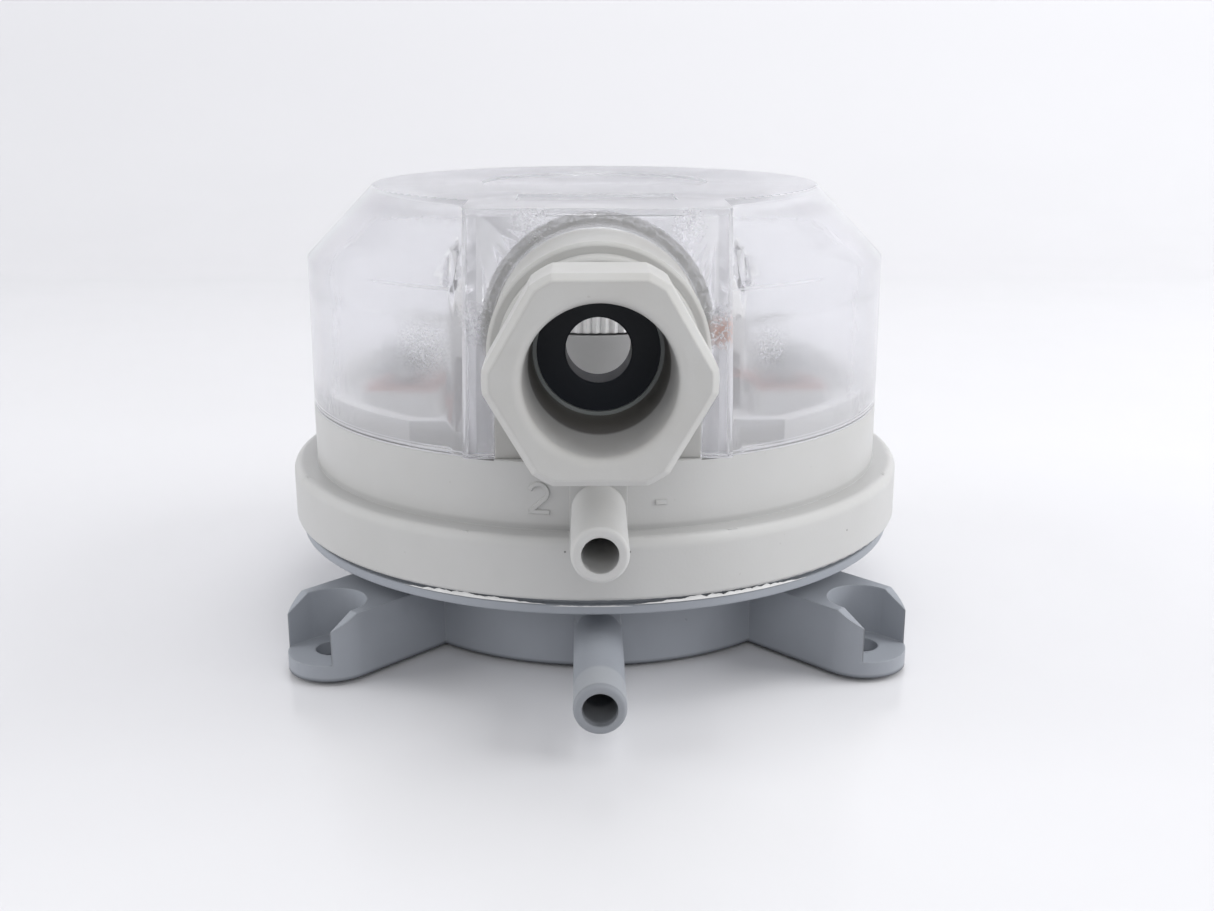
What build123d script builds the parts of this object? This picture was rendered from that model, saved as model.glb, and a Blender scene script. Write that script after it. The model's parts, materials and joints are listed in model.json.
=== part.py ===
from build123d import *
import os
from math import cos, hypot, pi, radians, sin, sqrt

os.makedirs("parts", exist_ok=True)

# Differential pressure switch, in millimetres. The foot stands on Z = 0 and the ports point to -Y.

# Pressure can
chamber_r = 28.6          # inside radius of both pressure chambers
drum_wall = 2.4
foot_step = 0.6           # drum and lugs stand this far off the ground on their feet
foot_in = 1.2             # the feet stay this far inside the outline
drum_h = 11.2             # drum's lower edge to the underside of the rim
floor_t = 2.2
foot_recess = 1.1         # ground to the underside of the floor
foot_ring_w = 3.5
foot_pad_r = 9.0
rim_out = 13.0            # how far the rim stands out beyond the chamber
rim_t = 1.7
rim_step_w = 0.9          # step round the rim's upper edge, open below the skirt
rim_step_h = 0.5
rim_round = 0.2
skirt_over = 0.9          # how far the upper half's skirt reaches over the rim
skirt_h = 7.55
skirt_round = 1.3
skirt_foot_round = 0.4
skirt_ledge = 3.2         # width of the step between skirt and wall
wall_h = 8.2              # skirt top to the ledge that the cover stands on
can_wall = 2.5
deck_t = 2.2
seat_w = 2.9              # clamping ring that presses on the diaphragm
lip_play = 0.27           # between the lip and the cover's foot
lip_wall = 1.8
lip_h = 3.0
lip_flat_in = 7.0         # the lip runs straight across, this far behind the box's front
edge_round = 0.4          # small roundings and chamfers

# Screws that hold the two halves together
can_screw_count = 8
can_screw_in = 5.7        # from the rim's edge to the middle of each screw
can_screw_angle = 22.5
can_screw_r = 1.4
can_screw_len = 9.0
can_screw_head_r = 2.6
can_screw_head_h = 1.6
can_cross_l = 2.6
can_cross_w = 0.65
can_cross_depth = 0.8
can_boss_r = 3.0
boss_rib_w = 1.2
screw_play = 0.1
socket_depth = 1.0

# Mounting lugs
lug_x = 33.5
lug_y = -29.8
lug_angle = 46.6
lug_r = 5.7
lug_h = 8.5
lug_pad_t = 2.1
lug_pocket_r = 4.4
lug_hole_r = 2.25
lug_slope_from = 0.4
lug_tip_h = 5.3

# Hose ports
low_port_r = 3.0
low_port_up = 5.5         # above the drum's lower edge
low_port_len = 24.0       # from the drum to the tip
high_port_r = 3.1
high_port_up = 24.5
high_port_len = 18.7      # from the wall to the tip
port_bore_r = 2.0
port_tip_round = 0.5
low_web_w = 5.6
low_web_out = 3.0         # how far the web stands out of the drum
high_web_w = 6.6

# Diaphragm
diaphragm_t = 0.35
diaphragm_edge = 0.9      # how far its edge stays inside the rim
bead_out = 1.3            # middle of the bead beyond the chamber
bead_w = 1.2
bead_h = 0.9
bead_play = 0.05
roll_r = 2.2
roll_gap = 0.6            # flat stretch between the roll and the chamber wall
hub_hole_r = 2.6

# Diaphragm plate and push rod
plate_gap = 0.7           # flat stretch between the roll and the plate
plate_t = 1.2
plate_rib_count = 8
plate_rib_w = 1.0
plate_rib_h = 1.6
plate_rib_in = 0.8        # ribs end this far inside the plate's edge
plate_hub_r = 4.6
plate_hub_h = 5.5
washer_r = 11.0
washer_t = 1.2
washer_stud_h = 2.4
stud_play = 0.05
rod_r = 1.25
rod_nose_round = 0.6
rod_socket = 3.0
stop_ring_r = 9.0
stop_ring_wall = 1.4
stop_play = 0.15
stop_notch_w = 4.0

# Rod bush and seal in the deck
bush_r = 3.0
bush_flange_r = 4.4
bush_flange_t = 0.7
bush_hub_r = 5.2
bush_hub_h = 4.6
rod_play = 0.06
seal_r = 2.3
seal_t = 0.9

# Contact set
arm_w = 5.0
arm_t = 0.4
arm_pivot_y = 14.0
arm_front = 10.8          # contact rivets stand this far in front of the axis
arm_nose = 2.2            # arm length past the rivet
arm_nose_round = 1.25
arm_lift = 1.8            # underside of the arm above the deck
arm_play = 0.1            # between rod and arm, and between closed contacts
rod_travel = 0.6
rivet_r = 1.5
rivet_h = 0.4
shank_r = 0.7
strip_t = 0.8
strip_w = 3.6
nc_strip_lift = 0.5       # underside of the lower strip above the deck
leaf_gap = 0.3            # strips pass their pillars at this distance

# Terminals
terminal_x = 25.0
terminal_y = -13.0
com_in = 11.77            # the rear terminal stands this far inside the cover's wall
pillar_l = 9.6
pillar_w = 9.0
pillar_h = 3.6
pillar_round = 1.0
plate_l = 8.6
plate_w = 8.0
term_screw_r = 1.6
term_screw_len = 5.5
term_head_r = 3.0
term_head_h = 2.2
term_slot_w = 0.8
term_cross_l = 3.6
term_slot_depth = 1.1
clamp_l = 7.0
clamp_t = 0.9
wire_gap = 1.3            # room under the clamp plate
clamp_lip = 0.6

# Switch carrier
carrier_r = 15.6
carrier_wall = 1.7
carrier_h = 10.4
carrier_top_t = 2.2
neck_r = 8.0
neck_wall = 1.5
window_in = 5.2           # windows for the strips start this far from the middle
window_play = 0.5
window_h = 6.4
ear_r = 3.2
ear_out = 5.0
ear_t = 2.4
ear_angle = 0.0
ear_screw_r = 1.25
ear_head_r = 2.3
ear_head_h = 1.4
ear_cross_l = 2.3
ear_cross_w = 0.6
ear_cross_depth = 0.7
ear_screw_len = 5.0
ear_boss_r = 2.5

# Setting dial and its screw
dial_r = 15.4
dial_h = 4.4
dial_wall = 2.2
dial_web = 1.4
dial_play = 0.3
dial_rib_count = 80
dial_rib_h = 0.35
dial_hub_r = 4.5
dial_bar_w = 3.2
journal_play = 0.06
set_screw_r = 2.9
set_screw_lead_l = 1.0    # for each turn
dial_turn = 270.0
seat_nut_r = 5.6
seat_nut_t = 0.9
seat_barrel_r = 3.9
seat_nut_h = 2.4
seat_key_w = 2.4
slide_play = 0.08
seat_drop = 0.7           # carrier plate to the nut at mid scale
neck_spare = 0.3

# Setting spring
spring_wire_r = 0.3
spring_turns = 4.0
spring_play = 0.15
spring_end_play = 0.05

# Clear cover
cover_inset = 0.03        # the cover's foot stands this far inside the wall
cover_draft = 0.17        # taper of its upright wall
cover_shoulder_h = 19.7
cover_cone_w = 9.0        # the cone draws in this far
cover_h = 28.98
cover_wall = 1.6
cover_top_t = 1.5
box_foot_w = 31.8
box_top_w = 30.4
box_front_out = 1.093     # flat front of the box, out from the round wall beside it
box_wall = 1.6
box_top_t = 1.0
slot_half = 12.1
window_ring_r = 15.4
window_ring_depth = 0.4
tag_w = 19.2
tag_l = 8.0
tag_in = 3.1              # from the top's edge to the tag's front
box_round = 0.7
top_round = 0.5
guide_rib_w = 1.3
guide_rib_h = 4.0
guide_rib_x = 16.4
guide_rib_in = 7.5        # the ribs run this far back from the box's front
guide_rib_drop = 0.7      # how far the ribs reach below the shoulder
box_back = 8.0            # the box's walls start this far in front of the axis
box_core_l = 11.0         # hollow of the box behind its front

# Cable gland
gland_up = 43.7           # above the drum's lower edge
gland_play = 0.1
gland_flange_out = 1.0    # flange radius beyond the slot
gland_flange_t = 2.4
collar_r = 12.0
collar_len = 11.5
step_r = 10.8
step_len = 2.9
gland_thread_r = 9.3
gland_seat_out = 4.4      # the cable seal sits this far in front of the box
gland_throat_r = 6.2
gland_web = 2.5
gland_rear_r = 9.6
foot_rib_w = 1.6
foot_rib_h = 2.8
cable_seal_t = 4.6
cable_seal_round = 0.2
cable_r = 3.6
seal_side_play = 0.1
thrust_r = 7.1
thrust_t = 0.5
thrust_bore_r = 6.7
nut_af = 21.2
nut_corner_r = 11.6
nut_len = 9.0
nut_gap = 1.5
nut_mouth_r = 7.7
nut_lip = 1.0
nut_chamfer = 0.7
nut_back_r = 10.1         # the corners are coned down to this circle at the back
nut_cone_l = 0.87
thread_play = 0.08

pick_tol = 0.01           # for picking edges by their radius or place

# Heights and places that follow
low_port_z = foot_step + low_port_up
high_port_z = foot_step + high_port_up
gland_z = foot_step + gland_up
lug_pad_z = foot_step + lug_pad_t
rim_under = foot_step + drum_h
drum_r = chamber_r + drum_wall
rim_r = chamber_r + rim_out
skirt_r = rim_r + skirt_over
wall_r = skirt_r - skirt_ledge
can_screw_circle_r = rim_r - can_screw_in
bead_r = chamber_r + bead_out
low_port_tip = drum_r + low_port_len
high_port_tip = wall_r + high_port_len
cover_r = wall_r - cover_inset
cover_shoulder_r = cover_r - cover_draft
cover_top_r = cover_shoulder_r - cover_cone_w
box_front_y = -sqrt(cover_r * cover_r - box_foot_w * box_foot_w / 4) - box_front_out
lip_r = cover_r - cover_wall - lip_play
lip_flat_y = box_front_y + lip_flat_in
tag_front_y = tag_in - cover_top_r
guide_rib_back = -box_front_y - guide_rib_in
box_core_back = -box_front_y - box_core_l
gland_seat_y = box_front_y - gland_seat_out
joint_z = rim_under + rim_t
com_y = cover_r - com_in
seat_z = joint_z + diaphragm_t
skirt_top = seat_z + skirt_h
ledge_z = skirt_top + wall_h
deck_under = ledge_z - deck_t
floor_top = foot_recess + floor_t
roll_mid = chamber_r - roll_gap - roll_r
plate_r = roll_mid - roll_r - plate_gap
plate_top = seat_z + plate_t
plate_rib_start = plate_hub_r - plate_rib_w
plate_rib_end = plate_r - plate_rib_in
washer_under = joint_z - washer_t
arm_z = ledge_z + arm_lift
rod_top = arm_z - arm_play
arm_length = arm_pivot_y + arm_front
contact_gap = rod_travel * arm_length / arm_pivot_y + arm_play
nc_z = ledge_z + nc_strip_lift
lower_rivet_h = arm_z - rivet_h - arm_play - nc_z - arm_t
no_z = arm_z + arm_t + rivet_h + contact_gap + rivet_h
pillar_top = ledge_z + pillar_h
terminal_spots = [(terminal_x, terminal_y), (-terminal_x, terminal_y), (0, com_y)]
carrier_top = ledge_z + carrier_h
seat_travel = set_screw_lead_l * dial_turn / 360
plate_under = carrier_top - carrier_top_t
dial_z = carrier_top + dial_play
cover_top = ledge_z + cover_h
shoulder_z = ledge_z + cover_shoulder_h
box_in_y = box_front_y + box_wall
can_head_top = rim_under - can_screw_head_h
nut_back_y = box_front_y - gland_play - collar_len - step_len - nut_gap
nut_front_y = nut_back_y - nut_len
gland_flange_r = slot_half + gland_flange_out
gland_back_y = box_in_y + gland_play + gland_flange_t
collar_back_y = box_front_y - gland_play
seal_front_y = gland_seat_y - cable_seal_t
thrust_front_y = seal_front_y - thrust_t

print("step: lower housing")
with BuildPart() as lower_housing:
    with BuildSketch(Plane.XZ):
        with BuildLine():
            Polyline(
                (0, foot_step), (drum_r, foot_step), (drum_r, rim_under), (rim_r, rim_under),
                (rim_r, joint_z - rim_step_h), (rim_r - rim_step_w, joint_z - rim_step_h),
                (rim_r - rim_step_w, joint_z), (0, joint_z), close=True
            )
        make_face()
    revolve(axis=Axis.Z)
    rim_edges = lower_housing.edges().filter_by(GeomType.CIRCLE).filter_by(
        lambda e: abs(e.radius - rim_r) < pick_tol
    )
    fillet(rim_edges, rim_round)
    for side in (1, -1):
        outward = Vector(side * cos(radians(lug_angle)), -sin(radians(lug_angle)), 0)
        lug_plane = Plane(origin=(side * lug_x, lug_y, 0), x_dir=outward, z_dir=(0, 0, 1))
        lug_root = hypot(lug_x, lug_y) - chamber_r
        with BuildSketch(lug_plane.offset(foot_step)):
            Circle(lug_r)
            with Locations((-lug_root / 2, 0)):
                Rectangle(lug_root, 2 * lug_r)
        extrude(amount=lug_h)
        with BuildSketch(lug_plane.offset(lug_pad_z)):
            Circle(lug_pocket_r)
            with Locations((lug_r / 2, 0)):
                Rectangle(lug_r, 2 * lug_pocket_r)
        extrude(amount=lug_h, mode=Mode.SUBTRACT)
        across = outward.cross(Vector(0, 0, 1))
        with BuildSketch(Plane(origin=(side * lug_x, lug_y, foot_step), x_dir=outward, z_dir=across)):
            with BuildLine():
                Polyline((lug_slope_from, lug_h), (lug_r, lug_tip_h), (lug_r, lug_h), close=True)
            make_face()
        extrude(amount=lug_r, both=True, mode=Mode.SUBTRACT)
        with BuildSketch(lug_plane):
            Circle(lug_r - foot_in)
        extrude(amount=lug_pad_z)
        with BuildSketch(lug_plane):
            Circle(lug_hole_r)
        extrude(amount=lug_pad_z, mode=Mode.SUBTRACT)
    with BuildSketch(Plane.XZ.offset(drum_r - drum_wall / 2)):
        with Locations((0, low_port_z)):
            Circle(low_port_r)
    extrude(amount=low_port_tip - drum_r + drum_wall / 2)
    with BuildSketch(Plane.XZ.offset(drum_r - drum_wall / 2)):
        with Locations((0, (low_port_z + rim_under) / 2)):
            Rectangle(low_web_w, rim_under - low_port_z)
    extrude(amount=low_web_out + drum_wall / 2)
    port_tip = lower_housing.faces().sort_by(Axis.Y)[0]
    fillet(port_tip.edges(), port_tip_round)
    with BuildSketch(Plane.XY.offset(floor_top)):
        Circle(chamber_r)
    extrude(amount=joint_z - floor_top, mode=Mode.SUBTRACT)
    with BuildSketch(Plane.XY):
        Circle(drum_r - foot_in)
    extrude(amount=floor_top)
    with BuildSketch(Plane.XY):
        Circle(drum_r - foot_ring_w)
        Circle(foot_pad_r, mode=Mode.SUBTRACT)
    extrude(amount=foot_recess, mode=Mode.SUBTRACT)
    with BuildSketch(Plane.XY.offset(floor_top)):
        Circle(stop_ring_r)
        Circle(stop_ring_r - stop_ring_wall, mode=Mode.SUBTRACT)
        with Locations((0, -stop_ring_r)):
            Rectangle(stop_notch_w, stop_ring_r, mode=Mode.SUBTRACT)
    extrude(amount=washer_under - stop_play - floor_top)
    with BuildSketch(Plane.XY.offset(joint_z)):
        Circle(bead_r + bead_w / 2 + bead_play)
        Circle(bead_r - bead_w / 2 - bead_play, mode=Mode.SUBTRACT)
    extrude(amount=-(bead_h + bead_play), mode=Mode.SUBTRACT)
    with BuildSketch(Plane.XZ.offset(low_port_tip)):
        with Locations((0, low_port_z)):
            Circle(port_bore_r)
    extrude(amount=-(low_port_tip - drum_r + drum_wall + drum_wall), mode=Mode.SUBTRACT)
    with BuildSketch(Plane.XY.offset(rim_under)):
        with PolarLocations(can_screw_circle_r, can_screw_count, start_angle=can_screw_angle):
            Circle(can_screw_r + screw_play)
    extrude(amount=rim_t, mode=Mode.SUBTRACT)

print("step: upper housing")
with BuildPart() as upper_housing:
    with BuildSketch(Plane.XZ):
        with BuildLine():
            Polyline(
                (0, deck_under), (chamber_r, deck_under), (chamber_r, seat_z), (skirt_r, seat_z),
                (skirt_r, skirt_top), (wall_r, skirt_top), (wall_r, ledge_z), (0, ledge_z), close=True
            )
        make_face()
    revolve(axis=Axis.Z)
    shoulder = upper_housing.edges().filter_by(GeomType.CIRCLE).filter_by(
        lambda e: abs(e.radius - skirt_r) < pick_tol and abs(e.center().Z - skirt_top) < pick_tol
    )
    fillet(shoulder, skirt_round)
    skirt_foot = upper_housing.edges().filter_by(GeomType.CIRCLE).filter_by(
        lambda e: abs(e.radius - skirt_r) < pick_tol and abs(e.center().Z - seat_z) < pick_tol
    )
    fillet(skirt_foot, skirt_foot_round)
    with BuildSketch(Plane.XY.offset(seat_z)):
        Circle(wall_r - can_wall)
        Circle(chamber_r + seat_w, mode=Mode.SUBTRACT)
    extrude(amount=ledge_z - can_wall - seat_z, mode=Mode.SUBTRACT)
    with BuildSketch(Plane.XY.offset(seat_z)):
        Circle(skirt_r - can_wall)
        Circle(wall_r - can_wall, mode=Mode.SUBTRACT)
    extrude(amount=skirt_h - can_wall, mode=Mode.SUBTRACT)
    with BuildSketch(Plane.XY.offset(seat_z)):
        with PolarLocations(can_screw_circle_r, can_screw_count, start_angle=can_screw_angle):
            Circle(can_boss_r)
            Rectangle(2 * (can_screw_circle_r - chamber_r - seat_w / 2), boss_rib_w)
    extrude(amount=skirt_h)
    with BuildSketch(Plane.XZ.offset(chamber_r)):
        with Locations((0, (skirt_top - can_wall / 2 + ledge_z) / 2)):
            Rectangle(high_web_w, ledge_z - skirt_top + can_wall / 2)
    extrude(amount=skirt_r - chamber_r)
    with BuildSketch(Plane.XZ.offset(wall_r)):
        with Locations((0, high_port_z)):
            Circle(high_port_r)
    extrude(amount=high_port_tip - wall_r)
    port_tip = upper_housing.faces().sort_by(Axis.Y)[0]
    fillet(port_tip.edges(), port_tip_round)
    with BuildSketch(Plane.XZ.offset(high_port_tip)):
        with Locations((0, high_port_z)):
            Circle(port_bore_r)
    extrude(amount=-(high_port_tip - chamber_r + seat_w), mode=Mode.SUBTRACT)
    with BuildSketch(Plane.XY.offset(ledge_z)):
        Circle(lip_r)
        with Locations((0, lip_flat_y - lip_r / 2)):
            Rectangle(2 * lip_r, lip_r, mode=Mode.SUBTRACT)
        offset(amount=-lip_wall, mode=Mode.SUBTRACT)
    extrude(amount=lip_h)
    with BuildSketch(Plane.XY.offset(ledge_z)):
        with Locations(*terminal_spots):
            RectangleRounded(pillar_l, pillar_w, pillar_round)
    extrude(amount=pillar_h)
    with BuildSketch(Plane.XY.offset(deck_under)):
        Circle(bush_hub_r)
    extrude(amount=-bush_hub_h)
    with BuildSketch(Plane.XY.offset(deck_under - bush_hub_h)):
        Circle(bush_r + stud_play)
    extrude(amount=bush_hub_h + deck_t, mode=Mode.SUBTRACT)
    with BuildSketch(Plane.XY.offset(deck_under)):
        with PolarLocations(carrier_r + ear_out, 2, start_angle=ear_angle):
            Circle(ear_boss_r)
    extrude(amount=-(ear_screw_len - deck_t))
    with BuildSketch(Plane.XY.offset(ledge_z)):
        with PolarLocations(carrier_r + ear_out, 2, start_angle=ear_angle):
            Circle(ear_screw_r + screw_play / 2)
    extrude(amount=-(ear_screw_len - ear_t + socket_depth), mode=Mode.SUBTRACT)
    with BuildSketch(Plane.XY.offset(seat_z)):
        with PolarLocations(can_screw_circle_r, can_screw_count, start_angle=can_screw_angle):
            Circle(can_screw_r + screw_play / 2)
    extrude(amount=can_screw_len - rim_t - diaphragm_t + socket_depth, mode=Mode.SUBTRACT)
    with BuildSketch(Plane.XY.offset(pillar_top)):
        with Locations(*terminal_spots):
            Circle(term_screw_r + screw_play / 2)
    extrude(amount=-pillar_h, mode=Mode.SUBTRACT)

print("step: screws of the can")
with BuildPart() as housing_screws:
    with BuildSketch(Plane.XY.offset(can_head_top)):
        with PolarLocations(can_screw_circle_r, can_screw_count, start_angle=can_screw_angle):
            Circle(can_screw_head_r)
    extrude(amount=can_screw_head_h)
    with BuildSketch(Plane.XY.offset(rim_under)):
        with PolarLocations(can_screw_circle_r, can_screw_count, start_angle=can_screw_angle):
            Circle(can_screw_r)
    extrude(amount=can_screw_len)
    head_faces = housing_screws.faces().filter_by(Axis.Z).group_by(Axis.Z)[0]
    chamfer(head_faces.edges(), edge_round)
    with BuildSketch(Plane.XY.offset(can_head_top)):
        with PolarLocations(can_screw_circle_r, can_screw_count, start_angle=can_screw_angle):
            Rectangle(can_cross_l, can_cross_w)
            Rectangle(can_cross_w, can_cross_l)
    extrude(amount=can_cross_depth, mode=Mode.SUBTRACT)

print("step: diaphragm")
with BuildPart() as diaphragm:
    with BuildSketch(Plane.XZ):
        with Locations(((hub_hole_r + rim_r - diaphragm_edge) / 2, joint_z + diaphragm_t / 2)):
            Rectangle(rim_r - diaphragm_edge - hub_hole_r, diaphragm_t)
        with Locations((roll_mid, joint_z)):
            Circle(roll_r)
            Circle(roll_r - diaphragm_t, mode=Mode.SUBTRACT)
        with Locations((roll_mid, joint_z - roll_r / 2)):
            Rectangle(2 * roll_r, roll_r, mode=Mode.SUBTRACT)
        with Locations((bead_r, joint_z - bead_h / 2)):
            Rectangle(bead_w, bead_h)
    revolve(axis=Axis.Z)
    with BuildSketch(Plane.XY.offset(joint_z)):
        with PolarLocations(can_screw_circle_r, can_screw_count, start_angle=can_screw_angle):
            Circle(can_screw_r + screw_play)
    extrude(amount=diaphragm_t, mode=Mode.SUBTRACT)

print("step: plate, washer and rod")
with BuildPart() as diaphragm_plate:
    with BuildSketch(Plane.XY.offset(seat_z)):
        Circle(plate_r)
    extrude(amount=plate_t)
    with BuildSketch(Plane.XY.offset(plate_top)):
        with PolarLocations((plate_rib_end + plate_rib_start) / 2, plate_rib_count):
            Rectangle(plate_rib_end - plate_rib_start, plate_rib_w)
    extrude(amount=plate_rib_h)
    with BuildSketch(Plane.XY.offset(seat_z)):
        Circle(plate_hub_r)
    extrude(amount=plate_hub_h)
    with BuildSketch(Plane.XY.offset(seat_z)):
        Circle(hub_hole_r)
    extrude(amount=washer_stud_h - diaphragm_t + stud_play, mode=Mode.SUBTRACT)
    with BuildSketch(Plane.XY.offset(seat_z + plate_hub_h)):
        Circle(rod_r + stud_play)
    extrude(amount=-rod_socket, mode=Mode.SUBTRACT)

with BuildPart() as diaphragm_washer:
    with BuildSketch(Plane.XY.offset(washer_under)):
        Circle(washer_r)
    extrude(amount=washer_t)
    with BuildSketch(Plane.XY.offset(joint_z)):
        Circle(hub_hole_r - stud_play)
    extrude(amount=washer_stud_h)
    chamfer(diaphragm_washer.edges().group_by(Axis.Z)[0], edge_round)

with BuildPart() as push_rod:
    rod_foot = seat_z + plate_hub_h - rod_socket
    with BuildSketch(Plane.XY.offset(rod_foot)):
        Circle(rod_r)
    extrude(amount=rod_top - rod_foot)
    fillet(push_rod.edges().group_by(Axis.Z)[-1], rod_nose_round)

with BuildPart() as rod_bush:
    bush_foot = deck_under - bush_hub_h
    with BuildSketch(Plane.XY.offset(bush_foot)):
        Circle(bush_r)
    extrude(amount=ledge_z - bush_foot)
    with BuildSketch(Plane.XY.offset(ledge_z)):
        Circle(bush_flange_r)
    extrude(amount=bush_flange_t)
    with BuildSketch(Plane.XY.offset(ledge_z + bush_flange_t)):
        Circle(seal_r + bead_play)
    extrude(amount=-(seal_t + bead_play), mode=Mode.SUBTRACT)
    with BuildSketch(Plane.XY.offset(bush_foot)):
        Circle(rod_r + rod_play)
    extrude(amount=ledge_z + bush_flange_t - bush_foot, mode=Mode.SUBTRACT)

with BuildPart() as rod_seal:
    with BuildSketch(Plane.XY.offset(ledge_z + bush_flange_t)):
        Circle(seal_r)
        Circle(rod_r + rod_play / 2, mode=Mode.SUBTRACT)
    extrude(amount=-seal_t)

print("step: contact set")
with BuildPart() as contact_arm:
    with BuildSketch(Plane.XY.offset(arm_z)):
        with Locations((0, (arm_pivot_y - arm_front - arm_nose) / 2)):
            Rectangle(arm_w, arm_length + arm_nose)
        Circle(seat_barrel_r + spring_play + 2 * spring_wire_r)
        with Locations((0, -arm_front)):
            Circle(shank_r, mode=Mode.SUBTRACT)
    extrude(amount=arm_t)
    nose_edges = contact_arm.edges().filter_by(Axis.Z).group_by(Axis.Y)[0]
    fillet(nose_edges, arm_nose_round)

with BuildPart() as arm_contact:
    with BuildSketch(Plane.XY.offset(arm_z - rivet_h)):
        with Locations((0, -arm_front)):
            Circle(rivet_r)
    extrude(amount=rivet_h)
    with BuildSketch(Plane.XY.offset(arm_z)):
        with Locations((0, -arm_front)):
            Circle(shank_r)
    extrude(amount=arm_t)
    with BuildSketch(Plane.XY.offset(arm_z + arm_t)):
        with Locations((0, -arm_front)):
            Circle(rivet_r)
    extrude(amount=rivet_h)

with BuildPart() as nc_contact:
    with BuildSketch(Plane.XY.offset(nc_z)):
        with Locations((0, -arm_front)):
            Circle(shank_r)
    extrude(amount=arm_t)
    with BuildSketch(Plane.XY.offset(nc_z + arm_t)):
        with Locations((0, -arm_front)):
            Circle(rivet_r)
    extrude(amount=lower_rivet_h)

with BuildPart() as no_contact:
    with BuildSketch(Plane.XY.offset(no_z - rivet_h)):
        with Locations((0, -arm_front)):
            Circle(rivet_r)
    extrude(amount=rivet_h)
    with BuildSketch(Plane.XY.offset(no_z)):
        with Locations((0, -arm_front)):
            Circle(shank_r)
    extrude(amount=arm_t)

# Each terminal is one bent strip: a screw plate on its pillar and a leaf that runs in to the contacts.
leaf_x = terminal_x - plate_l / 2
bend_x = terminal_x - pillar_l / 2 - leaf_gap
with BuildPart() as nc_terminal:
    with BuildSketch(Plane.XY.offset(pillar_top)):
        with Locations((-terminal_x, terminal_y)):
            Rectangle(plate_l, plate_w)
    extrude(amount=strip_t)
    with BuildSketch(Plane.XZ.offset(arm_front - strip_w / 2)):
        with BuildLine():
            Polyline(
                (rivet_r, nc_z), (rivet_r, nc_z + arm_t), (arm_t - bend_x, nc_z + arm_t),
                (arm_t - bend_x, pillar_top + strip_t), (-leaf_x - strip_t, pillar_top + strip_t),
                (-leaf_x - strip_t, pillar_top), (-bend_x, pillar_top), (-bend_x, nc_z), close=True
            )
        make_face()
    extrude(amount=strip_w)
    with BuildSketch(Plane.XY.offset(nc_z)):
        with Locations((0, -arm_front)):
            Circle(shank_r)
        with Locations((-terminal_x, terminal_y)):
            Circle(term_screw_r + screw_play / 2)
    extrude(amount=pillar_h + strip_t, mode=Mode.SUBTRACT)

with BuildPart() as no_terminal:
    with BuildSketch(Plane.XY.offset(pillar_top)):
        with Locations((terminal_x, terminal_y)):
            Rectangle(plate_l, plate_w)
    extrude(amount=strip_t)
    with BuildSketch(Plane.XZ.offset(arm_front - strip_w / 2)):
        with BuildLine():
            Polyline(
                (-rivet_r, no_z), (-rivet_r, no_z + arm_t), (bend_x - strip_t, no_z + arm_t),
                (leaf_x + strip_t, pillar_top + strip_t), (leaf_x + strip_t, pillar_top),
                (bend_x, pillar_top), (bend_x - strip_t, no_z), close=True
            )
        make_face()
    extrude(amount=strip_w)
    with BuildSketch(Plane.XY.offset(pillar_top)):
        with Locations((0, -arm_front)):
            Circle(shank_r)
        with Locations((terminal_x, terminal_y)):
            Circle(term_screw_r + screw_play / 2)
    extrude(amount=pillar_h + strip_t, mode=Mode.SUBTRACT)

com_leaf_y = com_y - plate_w / 2
com_bend_y = com_y - pillar_w / 2 - leaf_gap
cradle_y = arm_pivot_y + arm_play
cradle_top = arm_z + 2 * arm_t
with BuildPart() as com_terminal:
    with BuildSketch(Plane.XY.offset(pillar_top)):
        with Locations((0, com_y)):
            Rectangle(plate_l, plate_w)
    extrude(amount=strip_t)
    with BuildSketch(Plane.YZ.offset(-strip_w / 2)):
        with BuildLine():
            Polyline(
                (cradle_y, nc_z), (cradle_y, cradle_top), (cradle_y + arm_t, cradle_top),
                (cradle_y + arm_t, nc_z + arm_t), (com_bend_y - arm_t, nc_z + arm_t),
                (com_bend_y - arm_t, pillar_top + strip_t), (com_leaf_y + strip_t, pillar_top + strip_t),
                (com_leaf_y + strip_t, pillar_top), (com_bend_y, pillar_top), (com_bend_y, nc_z), close=True
            )
        make_face()
    extrude(amount=strip_w)
    with BuildSketch(Plane.XY.offset(pillar_top)):
        with Locations((0, com_y)):
            Circle(term_screw_r + screw_play / 2)
    extrude(amount=strip_t, mode=Mode.SUBTRACT)

clamp_z = pillar_top + strip_t + wire_gap
with BuildPart() as terminal_clamps:
    with BuildSketch(Plane.XY.offset(clamp_z)):
        with Locations(*terminal_spots):
            Rectangle(clamp_l, clamp_l)
            Circle(term_screw_r + screw_play, mode=Mode.SUBTRACT)
    extrude(amount=clamp_t)
    with BuildSketch(Plane.XY.offset(clamp_z)):
        with Locations(*terminal_spots):
            with GridLocations(clamp_l - clamp_lip, 0, 2, 1):
                Rectangle(clamp_lip, clamp_l)
    extrude(amount=-clamp_lip)

head_z = clamp_z + clamp_t
with BuildPart() as terminal_screws:
    with BuildSketch(Plane.XY.offset(head_z)):
        with Locations(*terminal_spots):
            Circle(term_head_r)
    extrude(amount=term_head_h)
    fillet(terminal_screws.edges().group_by(Axis.Z)[-1], edge_round)
    with BuildSketch(Plane.XY.offset(head_z)):
        with Locations(*terminal_spots):
            Circle(term_screw_r)
    extrude(amount=-term_screw_len)
    with BuildSketch(Plane.XY.offset(head_z + term_head_h)):
        with Locations(*terminal_spots):
            Rectangle(2 * term_head_r, term_slot_w)
            Rectangle(term_slot_w, term_cross_l)
    extrude(amount=-term_slot_depth, mode=Mode.SUBTRACT)

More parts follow.
